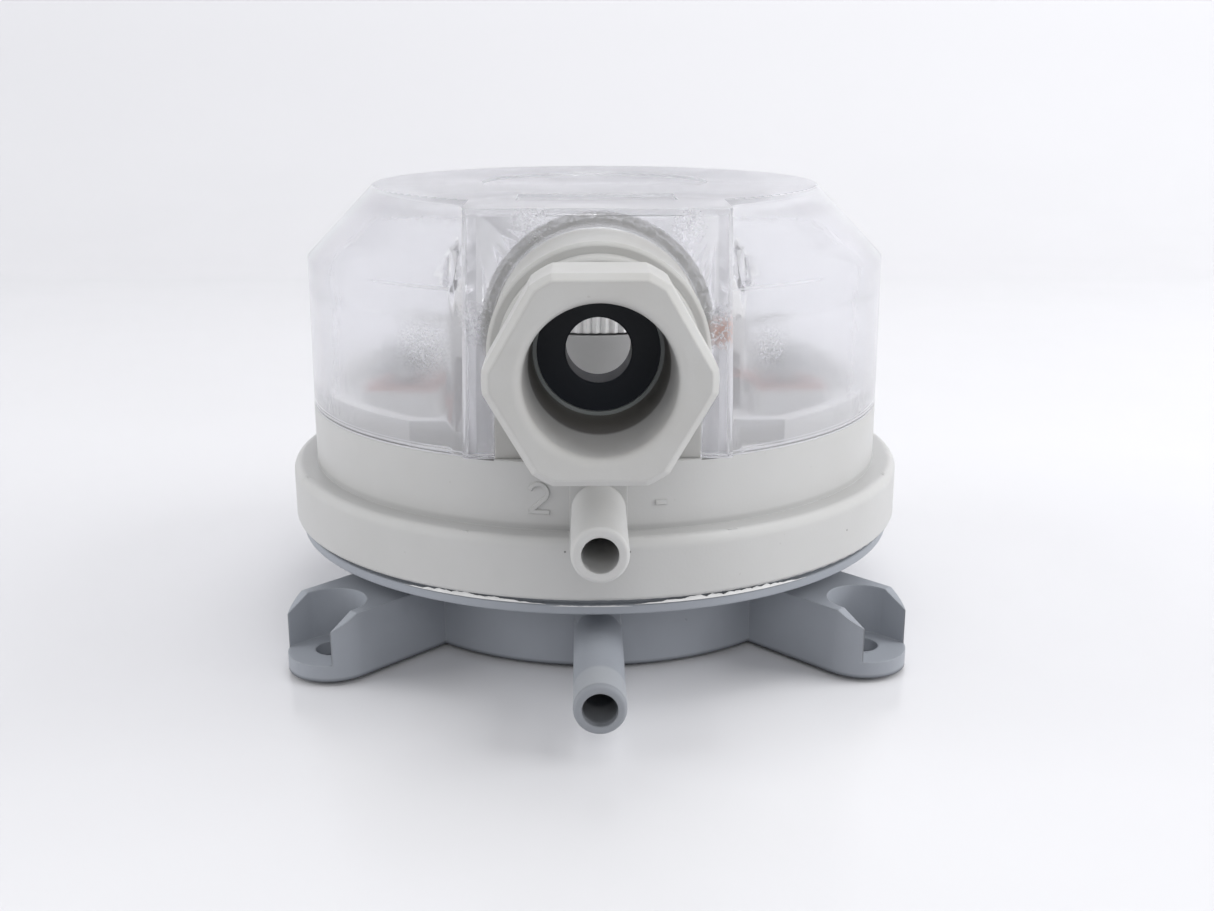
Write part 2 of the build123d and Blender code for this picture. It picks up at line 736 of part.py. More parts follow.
print("step: switch carrier")
neck_foot = plate_under - seat_drop - seat_nut_t - seat_travel / 2 - neck_spare
with BuildPart() as switch_carrier:
    with BuildSketch(Plane.XY.offset(ledge_z)):
        Circle(carrier_r)
        Circle(carrier_r - carrier_wall, mode=Mode.SUBTRACT)
    extrude(amount=carrier_h)
    with BuildSketch(Plane.XY.offset(plate_under)):
        Circle(carrier_r - carrier_wall / 2)
    extrude(amount=carrier_top_t)
    with BuildSketch(Plane.XY.offset(neck_foot)):
        Circle(neck_r)
        Circle(neck_r - neck_wall, mode=Mode.SUBTRACT)
        Rectangle(2 * neck_r, seat_key_w + 2 * slide_play, mode=Mode.SUBTRACT)
    extrude(amount=plate_under - neck_foot)
    with BuildSketch(Plane.XY.offset(ledge_z)):
        with PolarLocations(carrier_r + ear_out, 2, start_angle=ear_angle):
            Circle(ear_r)
        with PolarLocations(carrier_r + ear_out / 2 - carrier_wall / 4, 2, start_angle=ear_angle):
            Rectangle(ear_out + carrier_wall / 2, 2 * ear_r)
        with PolarLocations(carrier_r + ear_out, 2, start_angle=ear_angle):
            Circle(ear_screw_r + screw_play, mode=Mode.SUBTRACT)
    extrude(amount=ear_t)
    window_l = carrier_r - window_in
    with BuildSketch(Plane.XY.offset(ledge_z)):
        with Locations((window_in + window_l / 2, -arm_front), (-window_in - window_l / 2, -arm_front)):
            Rectangle(window_l, strip_w + 2 * window_play)
        with Locations((0, carrier_r - carrier_wall)):
            Rectangle(arm_w + 2 * window_play, 3 * carrier_wall)
    extrude(amount=window_h, mode=Mode.SUBTRACT)
    with BuildSketch(Plane.XY.offset(plate_under)):
        Circle(dial_hub_r + journal_play)
    extrude(amount=carrier_top_t, mode=Mode.SUBTRACT)

ear_top = ledge_z + ear_t
with BuildPart() as carrier_screws:
    with BuildSketch(Plane.XY.offset(ear_top)):
        with PolarLocations(carrier_r + ear_out, 2, start_angle=ear_angle):
            Circle(ear_head_r)
    extrude(amount=ear_head_h)
    fillet(carrier_screws.edges().group_by(Axis.Z)[-1], edge_round)
    with BuildSketch(Plane.XY.offset(ear_top)):
        with PolarLocations(carrier_r + ear_out, 2, start_angle=ear_angle):
            Circle(ear_screw_r)
    extrude(amount=-ear_screw_len)
    with BuildSketch(Plane.XY.offset(ear_top + ear_head_h)):
        with PolarLocations(carrier_r + ear_out, 2, start_angle=ear_angle):
            Rectangle(ear_cross_l, ear_cross_w)
            Rectangle(ear_cross_w, ear_cross_l)
    extrude(amount=-ear_cross_depth, mode=Mode.SUBTRACT)

print("step: dial, screw, nut and spring")
rib_pitch = 2 * pi / dial_rib_count
rib_outline = []
for half in range(2 * dial_rib_count):
    rib_r = dial_r - dial_rib_h * (half % 2)
    rib_outline.append((rib_r * cos(half * rib_pitch / 2), rib_r * sin(half * rib_pitch / 2)))
with BuildPart() as setting_dial:
    with BuildSketch(Plane.XY.offset(dial_z)):
        with BuildLine():
            Polyline(*rib_outline, close=True)
        make_face()
    extrude(amount=dial_h)
    with BuildSketch(Plane.XY.offset(dial_z + dial_web)):
        Circle(dial_r - dial_wall)
        Rectangle(2 * dial_r, dial_bar_w, mode=Mode.SUBTRACT)
        Circle(dial_hub_r, mode=Mode.SUBTRACT)
    extrude(amount=dial_h - dial_web, mode=Mode.SUBTRACT)
    with BuildSketch(Plane.XY.offset(dial_z)):
        Circle(dial_hub_r)
    extrude(amount=-(carrier_top_t + dial_play))
    with BuildSketch(Plane.XY.offset(plate_under)):
        Circle(set_screw_r)
    extrude(amount=dial_z + dial_web - plate_under, mode=Mode.SUBTRACT)

seat_top = plate_under - seat_drop
screw_top = dial_z + dial_web
screw_foot = seat_top - seat_nut_h - seat_travel / 2
with BuildPart() as adjusting_screw:
    with BuildSketch(Plane.XY.offset(screw_foot)):
        Circle(set_screw_r - stud_play)
    extrude(amount=screw_top - screw_foot)
    chamfer(adjusting_screw.edges().group_by(Axis.Z)[0], edge_round)

with BuildPart() as spring_seat:
    with BuildSketch(Plane.XY.offset(seat_top)):
        Circle(seat_nut_r)
        Rectangle(2 * neck_r, seat_key_w)
        Circle(set_screw_r, mode=Mode.SUBTRACT)
    extrude(amount=-seat_nut_t)
    with BuildSketch(Plane.XY.offset(seat_top - seat_nut_t)):
        Circle(seat_barrel_r)
        Circle(set_screw_r, mode=Mode.SUBTRACT)
    extrude(amount=-(seat_nut_h - seat_nut_t))

spring_foot = arm_z + arm_t + spring_end_play + spring_wire_r
spring_head = seat_top - seat_nut_t - spring_end_play - spring_wire_r
with BuildPart() as setting_spring:
    with BuildLine():
        spring_path = Helix(
            pitch=(spring_head - spring_foot) / spring_turns, height=spring_head - spring_foot,
            radius=seat_barrel_r + spring_play + spring_wire_r, center=(0, 0, spring_foot)
        )
    with BuildSketch(Plane(origin=spring_path @ 0, z_dir=spring_path % 0)):
        Circle(spring_wire_r)
    sweep(is_frenet=True)

print("step: clear cover")
slope = (cover_shoulder_r - cover_top_r) / (cover_top - shoulder_z)
cone_wall = cover_wall * sqrt(1 + slope * slope)
ceiling_z = cover_top - cover_top_t
box_slope = (box_foot_w - box_top_w) / cover_h
box_ceiling_z = cover_top - box_top_t
with BuildPart() as cover_core:
    with BuildSketch(Plane.XZ):
        with BuildLine():
            Polyline(
                (0, ledge_z), (cover_r - cover_wall, ledge_z), (cover_shoulder_r - cover_wall, shoulder_z),
                (cover_top_r - cone_wall + slope * cover_top_t, ceiling_z), (0, ceiling_z), close=True
            )
        make_face()
    revolve(axis=Axis.Z)
    with BuildSketch(Plane.XZ.offset(box_core_back)):
        with BuildLine():
            Polyline(
                (box_wall - box_foot_w / 2, ledge_z), (box_foot_w / 2 - box_wall, ledge_z),
                ((box_top_w + box_slope * box_top_t) / 2 - box_wall, box_ceiling_z),
                (box_wall - (box_top_w + box_slope * box_top_t) / 2, box_ceiling_z), close=True
            )
        make_face()
    extrude(amount=cover_r - box_core_back)
    with BuildSketch(Plane.XZ.offset(-box_in_y)):
        with Locations((0, ledge_z + cover_h / 2)):
            Rectangle(2 * cover_r, 2 * cover_h)
    extrude(amount=cover_r, mode=Mode.SUBTRACT)
    with BuildSketch(Plane.XZ.offset(guide_rib_back)):
        with Locations((0, shoulder_z - guide_rib_drop + guide_rib_h / 2)):
            with GridLocations(2 * guide_rib_x, 0, 2, 1):
                Rectangle(guide_rib_w, guide_rib_h)
    extrude(amount=cover_r - guide_rib_back, mode=Mode.SUBTRACT)

with BuildPart() as clear_cover:
    with BuildSketch(Plane.XZ):
        with BuildLine():
            Polyline(
                (0, ledge_z), (cover_r, ledge_z), (cover_shoulder_r, shoulder_z), (cover_top_r, cover_top),
                (0, cover_top), close=True
            )
        make_face()
    revolve(axis=Axis.Z)
    fillet(clear_cover.edges().filter_by(GeomType.CIRCLE).group_by(Axis.Z)[-1], top_round)
    with BuildSketch(Plane.XZ.offset(box_back)):
        with BuildLine():
            Polyline(
                (-box_foot_w / 2, ledge_z), (box_foot_w / 2, ledge_z), (box_top_w / 2, cover_top),
                (-box_top_w / 2, cover_top), close=True
            )
        make_face()
    extrude(amount=-box_front_y - box_back)
    with BuildSketch(Plane.XZ.offset(-box_front_y)):
        with Locations((0, ledge_z + cover_h / 2)):
            Rectangle(2 * cover_r, 2 * cover_h)
    extrude(amount=cover_r, mode=Mode.SUBTRACT)
    add(cover_core.part, mode=Mode.SUBTRACT)
    with BuildSketch(Plane.XZ.offset(-box_in_y - box_wall)):
        with Locations((0, gland_z)):
            Circle(slot_half)
        with Locations((0, (gland_z + ledge_z) / 2)):
            Rectangle(2 * slot_half, gland_z - ledge_z)
    extrude(amount=3 * box_wall, mode=Mode.SUBTRACT)
    with BuildSketch(Plane.XY.offset(cover_top)):
        Circle(window_ring_r)
        with Locations((0, tag_front_y + tag_l / 2)):
            Rectangle(tag_w, tag_l)
    extrude(amount=-window_ring_depth, mode=Mode.SUBTRACT)
    front_edges = clear_cover.edges().filter_by(
        lambda e: abs(e.center().Y - box_front_y) < pick_tol and abs(e.center().X) > slot_half + pick_tol
    )
    fillet(front_edges.filter_by(lambda e: e.center().Z > ledge_z + box_round), box_round)

print("step: cable gland")
with BuildPart() as gland_body:
    with BuildSketch(Plane.XZ.offset(-gland_back_y)):
        with Locations((0, gland_z)):
            Circle(gland_flange_r)
        with Locations((0, (gland_z + ledge_z) / 2)):
            Rectangle(2 * gland_flange_r, gland_z - ledge_z)
    extrude(amount=gland_flange_t)
    with BuildSketch(Plane.XZ.offset(-gland_back_y + gland_flange_t)):
        with Locations((0, gland_z)):
            Circle(slot_half - gland_play)
        with Locations((0, (gland_z + ledge_z) / 2)):
            Rectangle(2 * (slot_half - gland_play), gland_z - ledge_z)
    extrude(amount=box_wall + 2 * gland_play)
    with BuildSketch(Plane.XZ.offset(-collar_back_y)):
        with Locations((0, gland_z)):
            Circle(collar_r)
    extrude(amount=collar_len)
    collar_rim = gland_body.faces().sort_by(Axis.Y)[0].edges()
    chamfer(collar_rim, edge_round)
    with BuildSketch(Plane.XZ.offset(-collar_back_y + collar_len)):
        with Locations((0, gland_z)):
            Circle(step_r)
    extrude(amount=step_len)
    chamfer(gland_body.faces().sort_by(Axis.Y)[0].edges(), edge_round)
    with BuildSketch(Plane.XZ.offset(-gland_seat_y)):
        with Locations((0, gland_z)):
            Circle(gland_thread_r)
    extrude(amount=gland_seat_y - collar_back_y + collar_len + step_len, mode=Mode.SUBTRACT)
    with BuildSketch(Plane.XZ.offset(-gland_seat_y)):
        with Locations((0, gland_z)):
            Circle(gland_throat_r)
    extrude(amount=gland_seat_y - gland_back_y, mode=Mode.SUBTRACT)
    with BuildSketch(Plane.XZ.offset(-gland_seat_y - gland_web)):
        with Locations((0, gland_z)):
            Circle(gland_rear_r)
    extrude(amount=gland_seat_y + gland_web - gland_back_y, mode=Mode.SUBTRACT)
    with BuildSketch(Plane.XZ.offset(-gland_back_y)):
        with Locations((0, ledge_z + foot_rib_h / 2)):
            with GridLocations(2 * gland_flange_r - foot_rib_w, 0, 2, 1):
                Rectangle(foot_rib_w, foot_rib_h)
    extrude(amount=gland_back_y - lip_flat_y + gland_play)

with BuildPart() as gland_seal:
    with BuildSketch(Plane.XZ.offset(-gland_seat_y)):
        with Locations((0, gland_z)):
            Circle(gland_thread_r - seal_side_play)
            Circle(cable_r, mode=Mode.SUBTRACT)
    extrude(amount=cable_seal_t)
    seal_rims = gland_seal.faces().sort_by(Axis.Y)[0].edges()
    fillet(seal_rims.filter_by(lambda e: e.radius < cable_r + pick_tol), cable_seal_round)

with BuildPart() as gland_washer:
    with BuildSketch(Plane.XZ.offset(-seal_front_y)):
        with Locations((0, gland_z)):
            Circle(gland_thread_r - thread_play)
            Circle(thrust_bore_r, mode=Mode.SUBTRACT)
    extrude(amount=thrust_t)

with BuildPart() as gland_nut:
    with BuildSketch(Plane.XZ.offset(-nut_back_y)):
        with Locations((0, gland_z)):
            RegularPolygon(nut_af / 2, 6, major_radius=False)
            Circle(nut_corner_r, mode=Mode.INTERSECT)
    extrude(amount=nut_len)
    chamfer(gland_nut.faces().sort_by(Axis.Y)[0].edges(), nut_chamfer)
    with BuildSketch(Plane.YZ):
        with BuildLine():
            Polyline(
                (nut_back_y, gland_z + nut_back_r), (nut_back_y - nut_cone_l, gland_z + nut_corner_r),
                (nut_back_y - nut_cone_l, gland_z + nut_af), (nut_back_y, gland_z + nut_af), close=True
            )
        make_face()
    revolve(axis=Axis(origin=(0, 0, gland_z), direction=(0, 1, 0)), mode=Mode.SUBTRACT)
    with BuildSketch(Plane.XZ.offset(-thrust_front_y)):
        with Locations((0, gland_z)):
            Circle(gland_thread_r - thread_play)
    extrude(amount=thrust_front_y - nut_back_y)
    with BuildSketch(Plane.YZ):
        with BuildLine():
            Polyline(
                (thrust_front_y, gland_z), (thrust_front_y, gland_z + thrust_r),
                (nut_front_y, gland_z + nut_mouth_r), (nut_front_y, gland_z), close=True
            )
        make_face()
    revolve(axis=Axis(origin=(0, 0, gland_z), direction=(0, 1, 0)), mode=Mode.SUBTRACT)
    mouth = gland_nut.faces().sort_by(Axis.Y)[0].edges().filter_by(GeomType.CIRCLE).filter_by(
        lambda e: abs(e.radius - nut_mouth_r) < pick_tol
    )
    fillet(mouth, nut_lip)

pieces = {
    "lower_housing": lower_housing, "upper_housing": upper_housing, "housing_screws": housing_screws,
    "diaphragm": diaphragm, "diaphragm_plate": diaphragm_plate, "diaphragm_washer": diaphragm_washer,
    "push_rod": push_rod, "rod_bush": rod_bush, "rod_seal": rod_seal, "contact_arm": contact_arm,
    "arm_contact": arm_contact, "nc_contact": nc_contact, "no_contact": no_contact,
    "nc_terminal": nc_terminal, "no_terminal": no_terminal, "com_terminal": com_terminal,
    "terminal_clamps": terminal_clamps, "terminal_screws": terminal_screws,
    "switch_carrier": switch_carrier, "carrier_screws": carrier_screws, "setting_dial": setting_dial,
    "adjusting_screw": adjusting_screw, "spring_seat": spring_seat, "setting_spring": setting_spring,
    "clear_cover": clear_cover, "gland_body": gland_body, "gland_seal": gland_seal,
    "gland_washer": gland_washer, "gland_nut": gland_nut,
}
for label, piece in pieces.items():
    piece.part.label = label
    export_step(piece.part, f"parts/{label}.step")
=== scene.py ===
import json
from math import cos, pi, radians, sin
from random import Random

import bmesh
import bpy
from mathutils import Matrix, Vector


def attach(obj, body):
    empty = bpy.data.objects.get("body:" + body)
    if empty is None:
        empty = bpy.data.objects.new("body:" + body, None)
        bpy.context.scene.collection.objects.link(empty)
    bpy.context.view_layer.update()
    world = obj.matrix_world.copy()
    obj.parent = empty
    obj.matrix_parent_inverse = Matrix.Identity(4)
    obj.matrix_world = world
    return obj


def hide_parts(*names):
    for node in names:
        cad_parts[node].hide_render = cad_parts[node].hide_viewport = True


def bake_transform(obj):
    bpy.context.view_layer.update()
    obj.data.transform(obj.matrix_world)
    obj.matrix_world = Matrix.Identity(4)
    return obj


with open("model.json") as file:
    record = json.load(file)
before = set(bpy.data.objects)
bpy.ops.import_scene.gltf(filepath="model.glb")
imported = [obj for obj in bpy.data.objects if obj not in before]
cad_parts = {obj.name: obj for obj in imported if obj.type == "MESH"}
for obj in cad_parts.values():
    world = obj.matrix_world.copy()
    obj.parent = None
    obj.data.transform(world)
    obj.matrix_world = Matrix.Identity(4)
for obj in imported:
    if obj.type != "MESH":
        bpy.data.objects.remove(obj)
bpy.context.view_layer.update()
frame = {"nodes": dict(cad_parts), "record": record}
nodes = frame["nodes"]
mm = 0.001
bodyOf = {name: body for body, names in frame["record"]["behaviour"]["bodies"].items() for name in names}
slotOf = {part["node"]: part["material_slot"] for part in frame["record"]["subparts"]}
print("stage: frame loaded")


# Nodes: one way to add any of them, and shader maths written as sums

def setStops(ramp, stops):
    while len(ramp.elements) > len(stops):
        ramp.elements.remove(ramp.elements[-1])
    while len(ramp.elements) < len(stops):
        ramp.elements.new(1.0)
    for element, (position, level) in zip(ramp.elements, stops):
        element.position = position
        element.color = (level, level, level, 1)


def addNode(tree, kind, settings=None, sockets=None):   # settings first, then values or links for its inputs
    made = tree.nodes.new(kind)
    for key, value in (settings or {}).items():
        if key == "stops":
            setStops(made.color_ramp, value)
        else:
            setattr(made, key, value)
    for key, value in (sockets or {}).items():
        if isinstance(value, bpy.types.NodeSocket):
            tree.links.new(value, made.inputs[key])
        else:
            made.inputs[key].default_value = value
    return made


class Wire:                                  # a shader socket that takes part in sums
    def __init__(self, finish, socket):
        self.finish = finish
        self.socket = socket

    def __add__(self, other):
        return self.finish.maths("ADD", self, other)

    def __sub__(self, other):
        return self.finish.maths("SUBTRACT", self, other)

    def __rsub__(self, other):
        return self.finish.maths("SUBTRACT", other, self)

    def __mul__(self, other):
        return self.finish.maths("MULTIPLY", self, other)

    def __truediv__(self, other):
        return self.finish.maths("DIVIDE", self, other)

    __radd__ = __add__
    __rmul__ = __mul__


class Finish:                                # one material and the nodes it is made of
    def __init__(self, name):
        self.material = bpy.data.materials.new(name)
        self.material.use_nodes = True
        self.tree = self.material.node_tree
        self.tree.nodes.clear()
        self.output = self.tree.nodes.new("ShaderNodeOutputMaterial")
        self.place = self.node("ShaderNodeTexCoord", out="Object")

    def node(self, kind, settings=None, sockets=None, out=0):
        inputs = {}
        for key, value in (sockets or {}).items():
            inputs[key] = value.socket if isinstance(value, Wire) else value
        return Wire(self, addNode(self.tree, kind, settings, inputs).outputs[out])

    def maths(self, operation, first, second=0.0):
        return self.node("ShaderNodeMath", {"operation": operation}, {0: first, 1: second})

    def unsigned(self, value):
        return self.maths("ABSOLUTE", value)

    def reach(self, across, up):             # distance from a line, given both offsets from it
        return self.maths("SQRT", across * across + up * up)

    def noise(self, size, detail=3.0, roughness=0.5, stretch=(1, 1, 1), shift=(0, 0, 0)):
        place = self.node("ShaderNodeMapping", sockets={
            "Vector": self.place, "Scale": stretch, "Location": shift})
        return self.node("ShaderNodeTexNoise", sockets={
            "Vector": place, "Scale": 1 / size, "Detail": detail, "Roughness": roughness})

    def ramp(self, value, *stops):
        return self.node("ShaderNodeValToRGB", {"stops": stops}, {"Fac": value})

    def blend(self, factor, first, second):
        return self.node("ShaderNodeMix", {"data_type": "RGBA"}, {0: factor, 6: first, 7: second}, out=2)

    def bevel(self, radius):
        return self.node("ShaderNodeBevel", {"samples": 4}, {"Radius": radius})

    def bump(self, height, depth, normal=None):
        sockets = {"Height": height, "Distance": depth}
        if normal is not None:
            sockets["Normal"] = normal
        return self.node("ShaderNodeBump", sockets=sockets)

    def axis(self, letter):                  # one coordinate in millimetres
        return self.node("ShaderNodeSeparateXYZ", sockets={0: self.place}, out=letter) / mm

    def band(self, value, low, high, soft):  # 1 between two values, 0 outside
        middle = self.unsigned(value - (low + high) / 2)
        return self.fade(middle, (high - low) / 2, (high - low) / 2 + soft)

    def fade(self, value, start, end):       # 1 up to the start, 0 from the end on
        return self.ramp((value - start) / (end - start), (0.0, 1.0), (1.0, 0.0))

    def within(self, centre, inner, outer):  # 1 inside a ball, 0 well outside it
        spot = tuple(c * mm for c in centre)
        gap = self.node("ShaderNodeVectorMath", {"operation": "DISTANCE"}, {0: self.place, 1: spot}, "Value")
        return self.fade(gap / mm, inner, outer)

    def edges(self, radius, start, end):     # 1 along edges, 0 on flat ground
        bent = self.bevel(radius)
        true = self.node("ShaderNodeNewGeometry", out="Normal")
        same = self.node("ShaderNodeVectorMath", {"operation": "DOT_PRODUCT"}, {0: bent, 1: true}, "Value")
        return self.ramp(1 - same, (start, 0.0), (end, 1.0))

    def show(self, shader):
        self.tree.links.new(shader.socket, self.output.inputs["Surface"])
        return self.material


plasticBase = {"flowDetail": 4.0, "flowBreak": 0.55, "flowRange": (0.32, 0.68), "grainDetail": 2.0,
               "grainRough": 0.06, "speckDetail": 1.0, "speckShift": (0.37, 0.11, 0.05), "speckSoft": 0.03,
               "ior": 1.45, "glow": 0.0, "glowColour": (1, 0.9, 0.8), "glowDepth": 0.0005}


def moulded(name, look, marks=None):         # satin moulded plastic with fine grain and faint flow marks
    look = {**plasticBase, **look}
    made = Finish(name)
    flow = made.noise(look["flowSize"], look["flowDetail"], look["flowBreak"])
    grain = made.noise(look["grainSize"], look["grainDetail"])
    specks = made.noise(look["speckSize"], look["speckDetail"], shift=look["speckShift"])
    dirt = made.ramp(specks, (look["speckFrom"], 0.0), (look["speckFrom"] + look["speckSoft"], 1.0))
    low, high = look["flowRange"]
    tone = made.blend(made.ramp(flow, (low, 0.0), (high, 1.0)), look["colour"], look["shade"])
    tone = made.blend(dirt * look["speckAmount"], tone, look["dirt"])
    if marks:
        tone = marks(made, tone)
    rough = look["rough"] + (flow - 0.5) * look["roughSpread"] + (grain - 0.5) * look["grainRough"]
    normal = made.bump(grain, look["grainDepth"], made.bevel(look["edge"]))
    return made.show(made.node("ShaderNodeBsdfPrincipled", sockets={
        "Base Color": tone, "Roughness": rough, "Normal": normal, "IOR": look["ior"],
        "Subsurface Weight": look["glow"], "Subsurface Radius": look["glowColour"],
        "Subsurface Scale": look["glowDepth"]}))


metalBase = {"streakDetail": 3.0, "streakBreak": 0.6, "cloudDetail": 3.0, "cloudRange": (0.35, 0.7)}


def metal(name, look):                       # plated, drawn or turned metal
    look = {**metalBase, **look}
    made = Finish(name)
    streaks = made.noise(look["streakSize"], look["streakDetail"], look["streakBreak"],
                         look["streakStretch"])
    cloud = made.noise(look["cloudSize"], look["cloudDetail"])
    low, high = look["cloudRange"]
    tone = made.blend(made.ramp(cloud, (low, 0.0), (high, 1.0)), look["colour"], look["shade"])
    rough = look["rough"] + (streaks - 0.5) * look["roughSpread"]
    normal = made.bump(streaks, look["streakDepth"], made.bevel(look["edge"]))
    return made.show(made.node("ShaderNodeBsdfPrincipled", sockets={
        "Base Color": tone, "Metallic": 1.0, "Roughness": rough, "Normal": normal}))


def clearWall(name, look):                   # clear plastic: glossy or frosted skin, haze, grainy patches, painted highlights, painted shade spots and a painted show-through patch
    made = Finish(name)
    cloud = made.noise(look["cloudSize"], look["cloudDetail"])
    grain = made.noise(look["grainSize"], look["grainDetail"], look["grainBreak"])
    waves = made.noise(look["waveSize"], look["waveDetail"])
    patchy = 0.0
    for centre, inner, outer in look["grainSpots"]:
        patchy = made.within(centre, inner, outer) + patchy
    relief = waves * look["waveShare"]
    if look["grainSpots"]:
        relief = relief + grain * patchy
    normal = made.bump(relief, look["bumpDepth"])
    rough = look["rough"] + (cloud - 0.5) * look["roughSpread"]
    glass = made.node("ShaderNodeBsdfPrincipled", sockets={
        "Base Color": look["colour"], "Roughness": rough, "IOR": look["ior"], "Transmission Weight": 1.0,
        "Normal": normal})
    front = made.node("ShaderNodeBsdfDiffuse", sockets={"Color": look["milk"], "Normal": normal})
    back = made.node("ShaderNodeBsdfTranslucent", sockets={"Color": look["milk"], "Normal": normal})
    milk = made.node("ShaderNodeMixShader", sockets={0: look["through"], 1: front, 2: back})
    height = made.axis("Z")
    rise = made.fade(height, *look["footZ"])
    haze = look["haze"] + (cloud - 0.5) * look["hazeSpread"] + rise * (look["footHaze"] - look["haze"])
    # painted highlight: bright milk along the cover's edges
    if look["edgeHighlight"]:
        haze = haze + made.edges(look["edge"], *look["edgeRange"]) * look["edgeHighlight"]
    # painted highlight: bright lines along the cover's bottom rim
    haze = haze + made.fade(height, *look["rimZ"]) * look["rimHighlight"]
    haze = haze + made.band(height, *look["rimLineZ"]) * look["rimHighlight"] * look["rimLineShare"]
    # painted highlight: a bright line on the shoulder beside the box
    if look["lineHighlight"]:
        side = made.unsigned(made.axis("X"))
        haze = haze + made.band(height, *look["lineZ"]) * made.fade(side, *look["lineX"]) * look["lineHighlight"]
    low, high = look["speckRange"]
    speck = made.ramp(grain, (low, 0.0), (high, 1.0))
    if look["grainSpots"]:
        haze = haze + (speck - 0.5) * patchy * look["grainHaze"]
    body = made.node("ShaderNodeMixShader", sockets={0: haze, 1: glass, 2: milk})
    # painted shade: dark spots beside the box's corners and a grainy dark ring round the arch
    paintedShade = 0.0
    for centre, inner, outer, amount in look["smudges"]:
        paintedShade = made.within(centre, inner, outer) * amount + paintedShade
    if look["archShade"]:
        arch = made.reach(made.axis("X"), height - look["archZ"])
        ring = made.band(arch, *look["archR"]) * (1 - made.fade(height, *look["archFootZ"]))
        paintedShade = paintedShade + ring * (look["archShade"] + (speck - 0.5) * look["archGrain"])
    if look["smudges"]:
        shade = made.node("ShaderNodeBsdfDiffuse", sockets={"Color": look["dusk"]})
        body = made.node("ShaderNodeMixShader", sockets={0: paintedShade, 1: body, 2: shade})
    # painted show-through: image of the copper strip behind the box wall
    for centre, inner, outer, amount in look["stripShowThrough"]:
        warm = made.node("ShaderNodeBsdfDiffuse", sockets={"Color": look["stripShowThroughColour"]})
        spot = made.within(centre, inner, outer) * speck * amount
        body = made.node("ShaderNodeMixShader", sockets={0: spot, 1: body, 2: warm})
    lampPath = made.node("ShaderNodeLightPath", out="Is Shadow Ray")
    passed = made.node("ShaderNodeBsdfTransparent", sockets={"Color": look["lampColour"]})
    return made.show(made.node("ShaderNodeMixShader", sockets={0: lampPath, 1: body, 2: passed}))


# Marks on the plastics, placed in millimetres

paleEdge = {"radius": 0.00016, "from": 0.04, "to": 0.30, "amount": 0.5, "colour": (0.86, 0.86, 0.85, 1)}
# worn edges, paler also as a painted highlight
wornAndLitEdge = {"radius": 0.00022, "from": 0.03, "to": 0.25, "amount": 0.55, "colour": (0.50, 0.52, 0.55, 1)}
darkEdge = {"radius": 0.00012, "from": 0.03, "to": 0.20, "amount": 0.85, "colour": (0.22, 0.22, 0.21, 1)}


def edgeLine(made, tone, look):
    line = made.edges(look["radius"], look["from"], look["to"])
    return made.blend(line * look["amount"], tone, look["colour"])


def lightEdges(made, tone):                  # edges catch the light as a thin pale line
    return edgeLine(made, tone, paleEdge)


def darkEdges(made, tone):                   # raised strokes read by the shade along their sides
    return edgeLine(made, tone, darkEdge)


housingMark = {"specks": ((-3.88, -42.32, 19.94), (3.62, -42.35, 19.90), (31.34, -28.70, 17.74)),
               "speckR": (0.06, 0.16), "speckAmount": 0.85, "speckColour": (0.03, 0.03, 0.03, 1),
               "legZ": (29.50, 29.70, 0.06), "legX": (12.2, 15.9, 0.1), "legY": (-35.0, -34.0),
               "legAmount": 0.9, "legColour": (0.04, 0.04, 0.04, 1),
               "cornerZ": (21.2, 21.9, 0.4), "cornerR": (41.4, 41.9), "cornerAmount": 0.3,
               "cornerColour": (0.28, 0.28, 0.28, 1)}


def housingMarks(made, tone):                # specks, shade below the cover's legs and at the skirt's edge
    look = housingMark
    for centre in look["specks"]:
        spot = made.within(centre, *look["speckR"])
        tone = made.blend(spot * look["speckAmount"], tone, look["speckColour"])
    across, along, up = (made.axis(letter) for letter in "XYZ")
    below = made.band(up, *look["legZ"]) * made.band(made.unsigned(across), *look["legX"])
    below = below * made.fade(along, *look["legY"])
    tone = made.blend(below * look["legAmount"], tone, look["legColour"])
    corner = made.band(up, *look["cornerZ"]) * made.fade(made.reach(across, along), *look["cornerR"])
    tone = made.blend(corner * look["cornerAmount"], tone, look["cornerColour"])
    return lightEdges(made, tone)


# painted shade on the nut's rear edge, where the gap to the collar is in shadow
gapShadeMark = {"depth": (53.2, 54.0), "amount": 0.8, "colour": (0.06, 0.05, 0.04, 1)}


def nutMarks(made, tone):                    # painted shade in the gap behind the nut, edges with a painted highlight
    gap = made.fade(0.0 - made.axis("Y"), *gapShadeMark["depth"])
    return lightEdges(made, made.blend(gap * gapShadeMark["amount"], tone, gapShadeMark["colour"]))


greyMark = {"portZ": 6.1, "boreR": (1.98, 2.04), "boreY": (-54.3, -53.4), "boreAmount": 0.95,
            "boreColour": (0.022, 0.025, 0.036, 1),
            "portR": (3.2, 3.4), "portY": (-50.2, -49.6), "portAmount": 0.32,
            "portColour": (0.46, 0.47, 0.48, 1),
            "faceY": (-54.4, -54.2), "faceAmount": 0.5, "faceColour": (0.16, 0.17, 0.19, 1),
            # foot: painted contact shadow along the bottom edge
            "footZ": (0.6, 1.1), "footAmount": 0.8, "footColour": (0.05, 0.055, 0.065, 1),
            "gritSize": 0.0005, "gritDetail": 2.0, "gritRange": (0.45, 0.6),
            "gritSpots": (((33.6, -31.8, 2.2), 0.1, 1.1), ((-33.6, -31.8, 2.2), 0.1, 0.9)),
            "gritAmount": 0.8, "gritColour": (0.03, 0.03, 0.035, 1),
            "scratchSpots": (((37.2, -30.0, 11.0), 0.2, 0.8), ((37.7, -30.6, 10.5), 0.2, 0.8),
                             ((38.2, -31.2, 10.0), 0.2, 0.8)),
            "scratchAmount": 0.7, "scratchColour": (0.62, 0.64, 0.67, 1)}


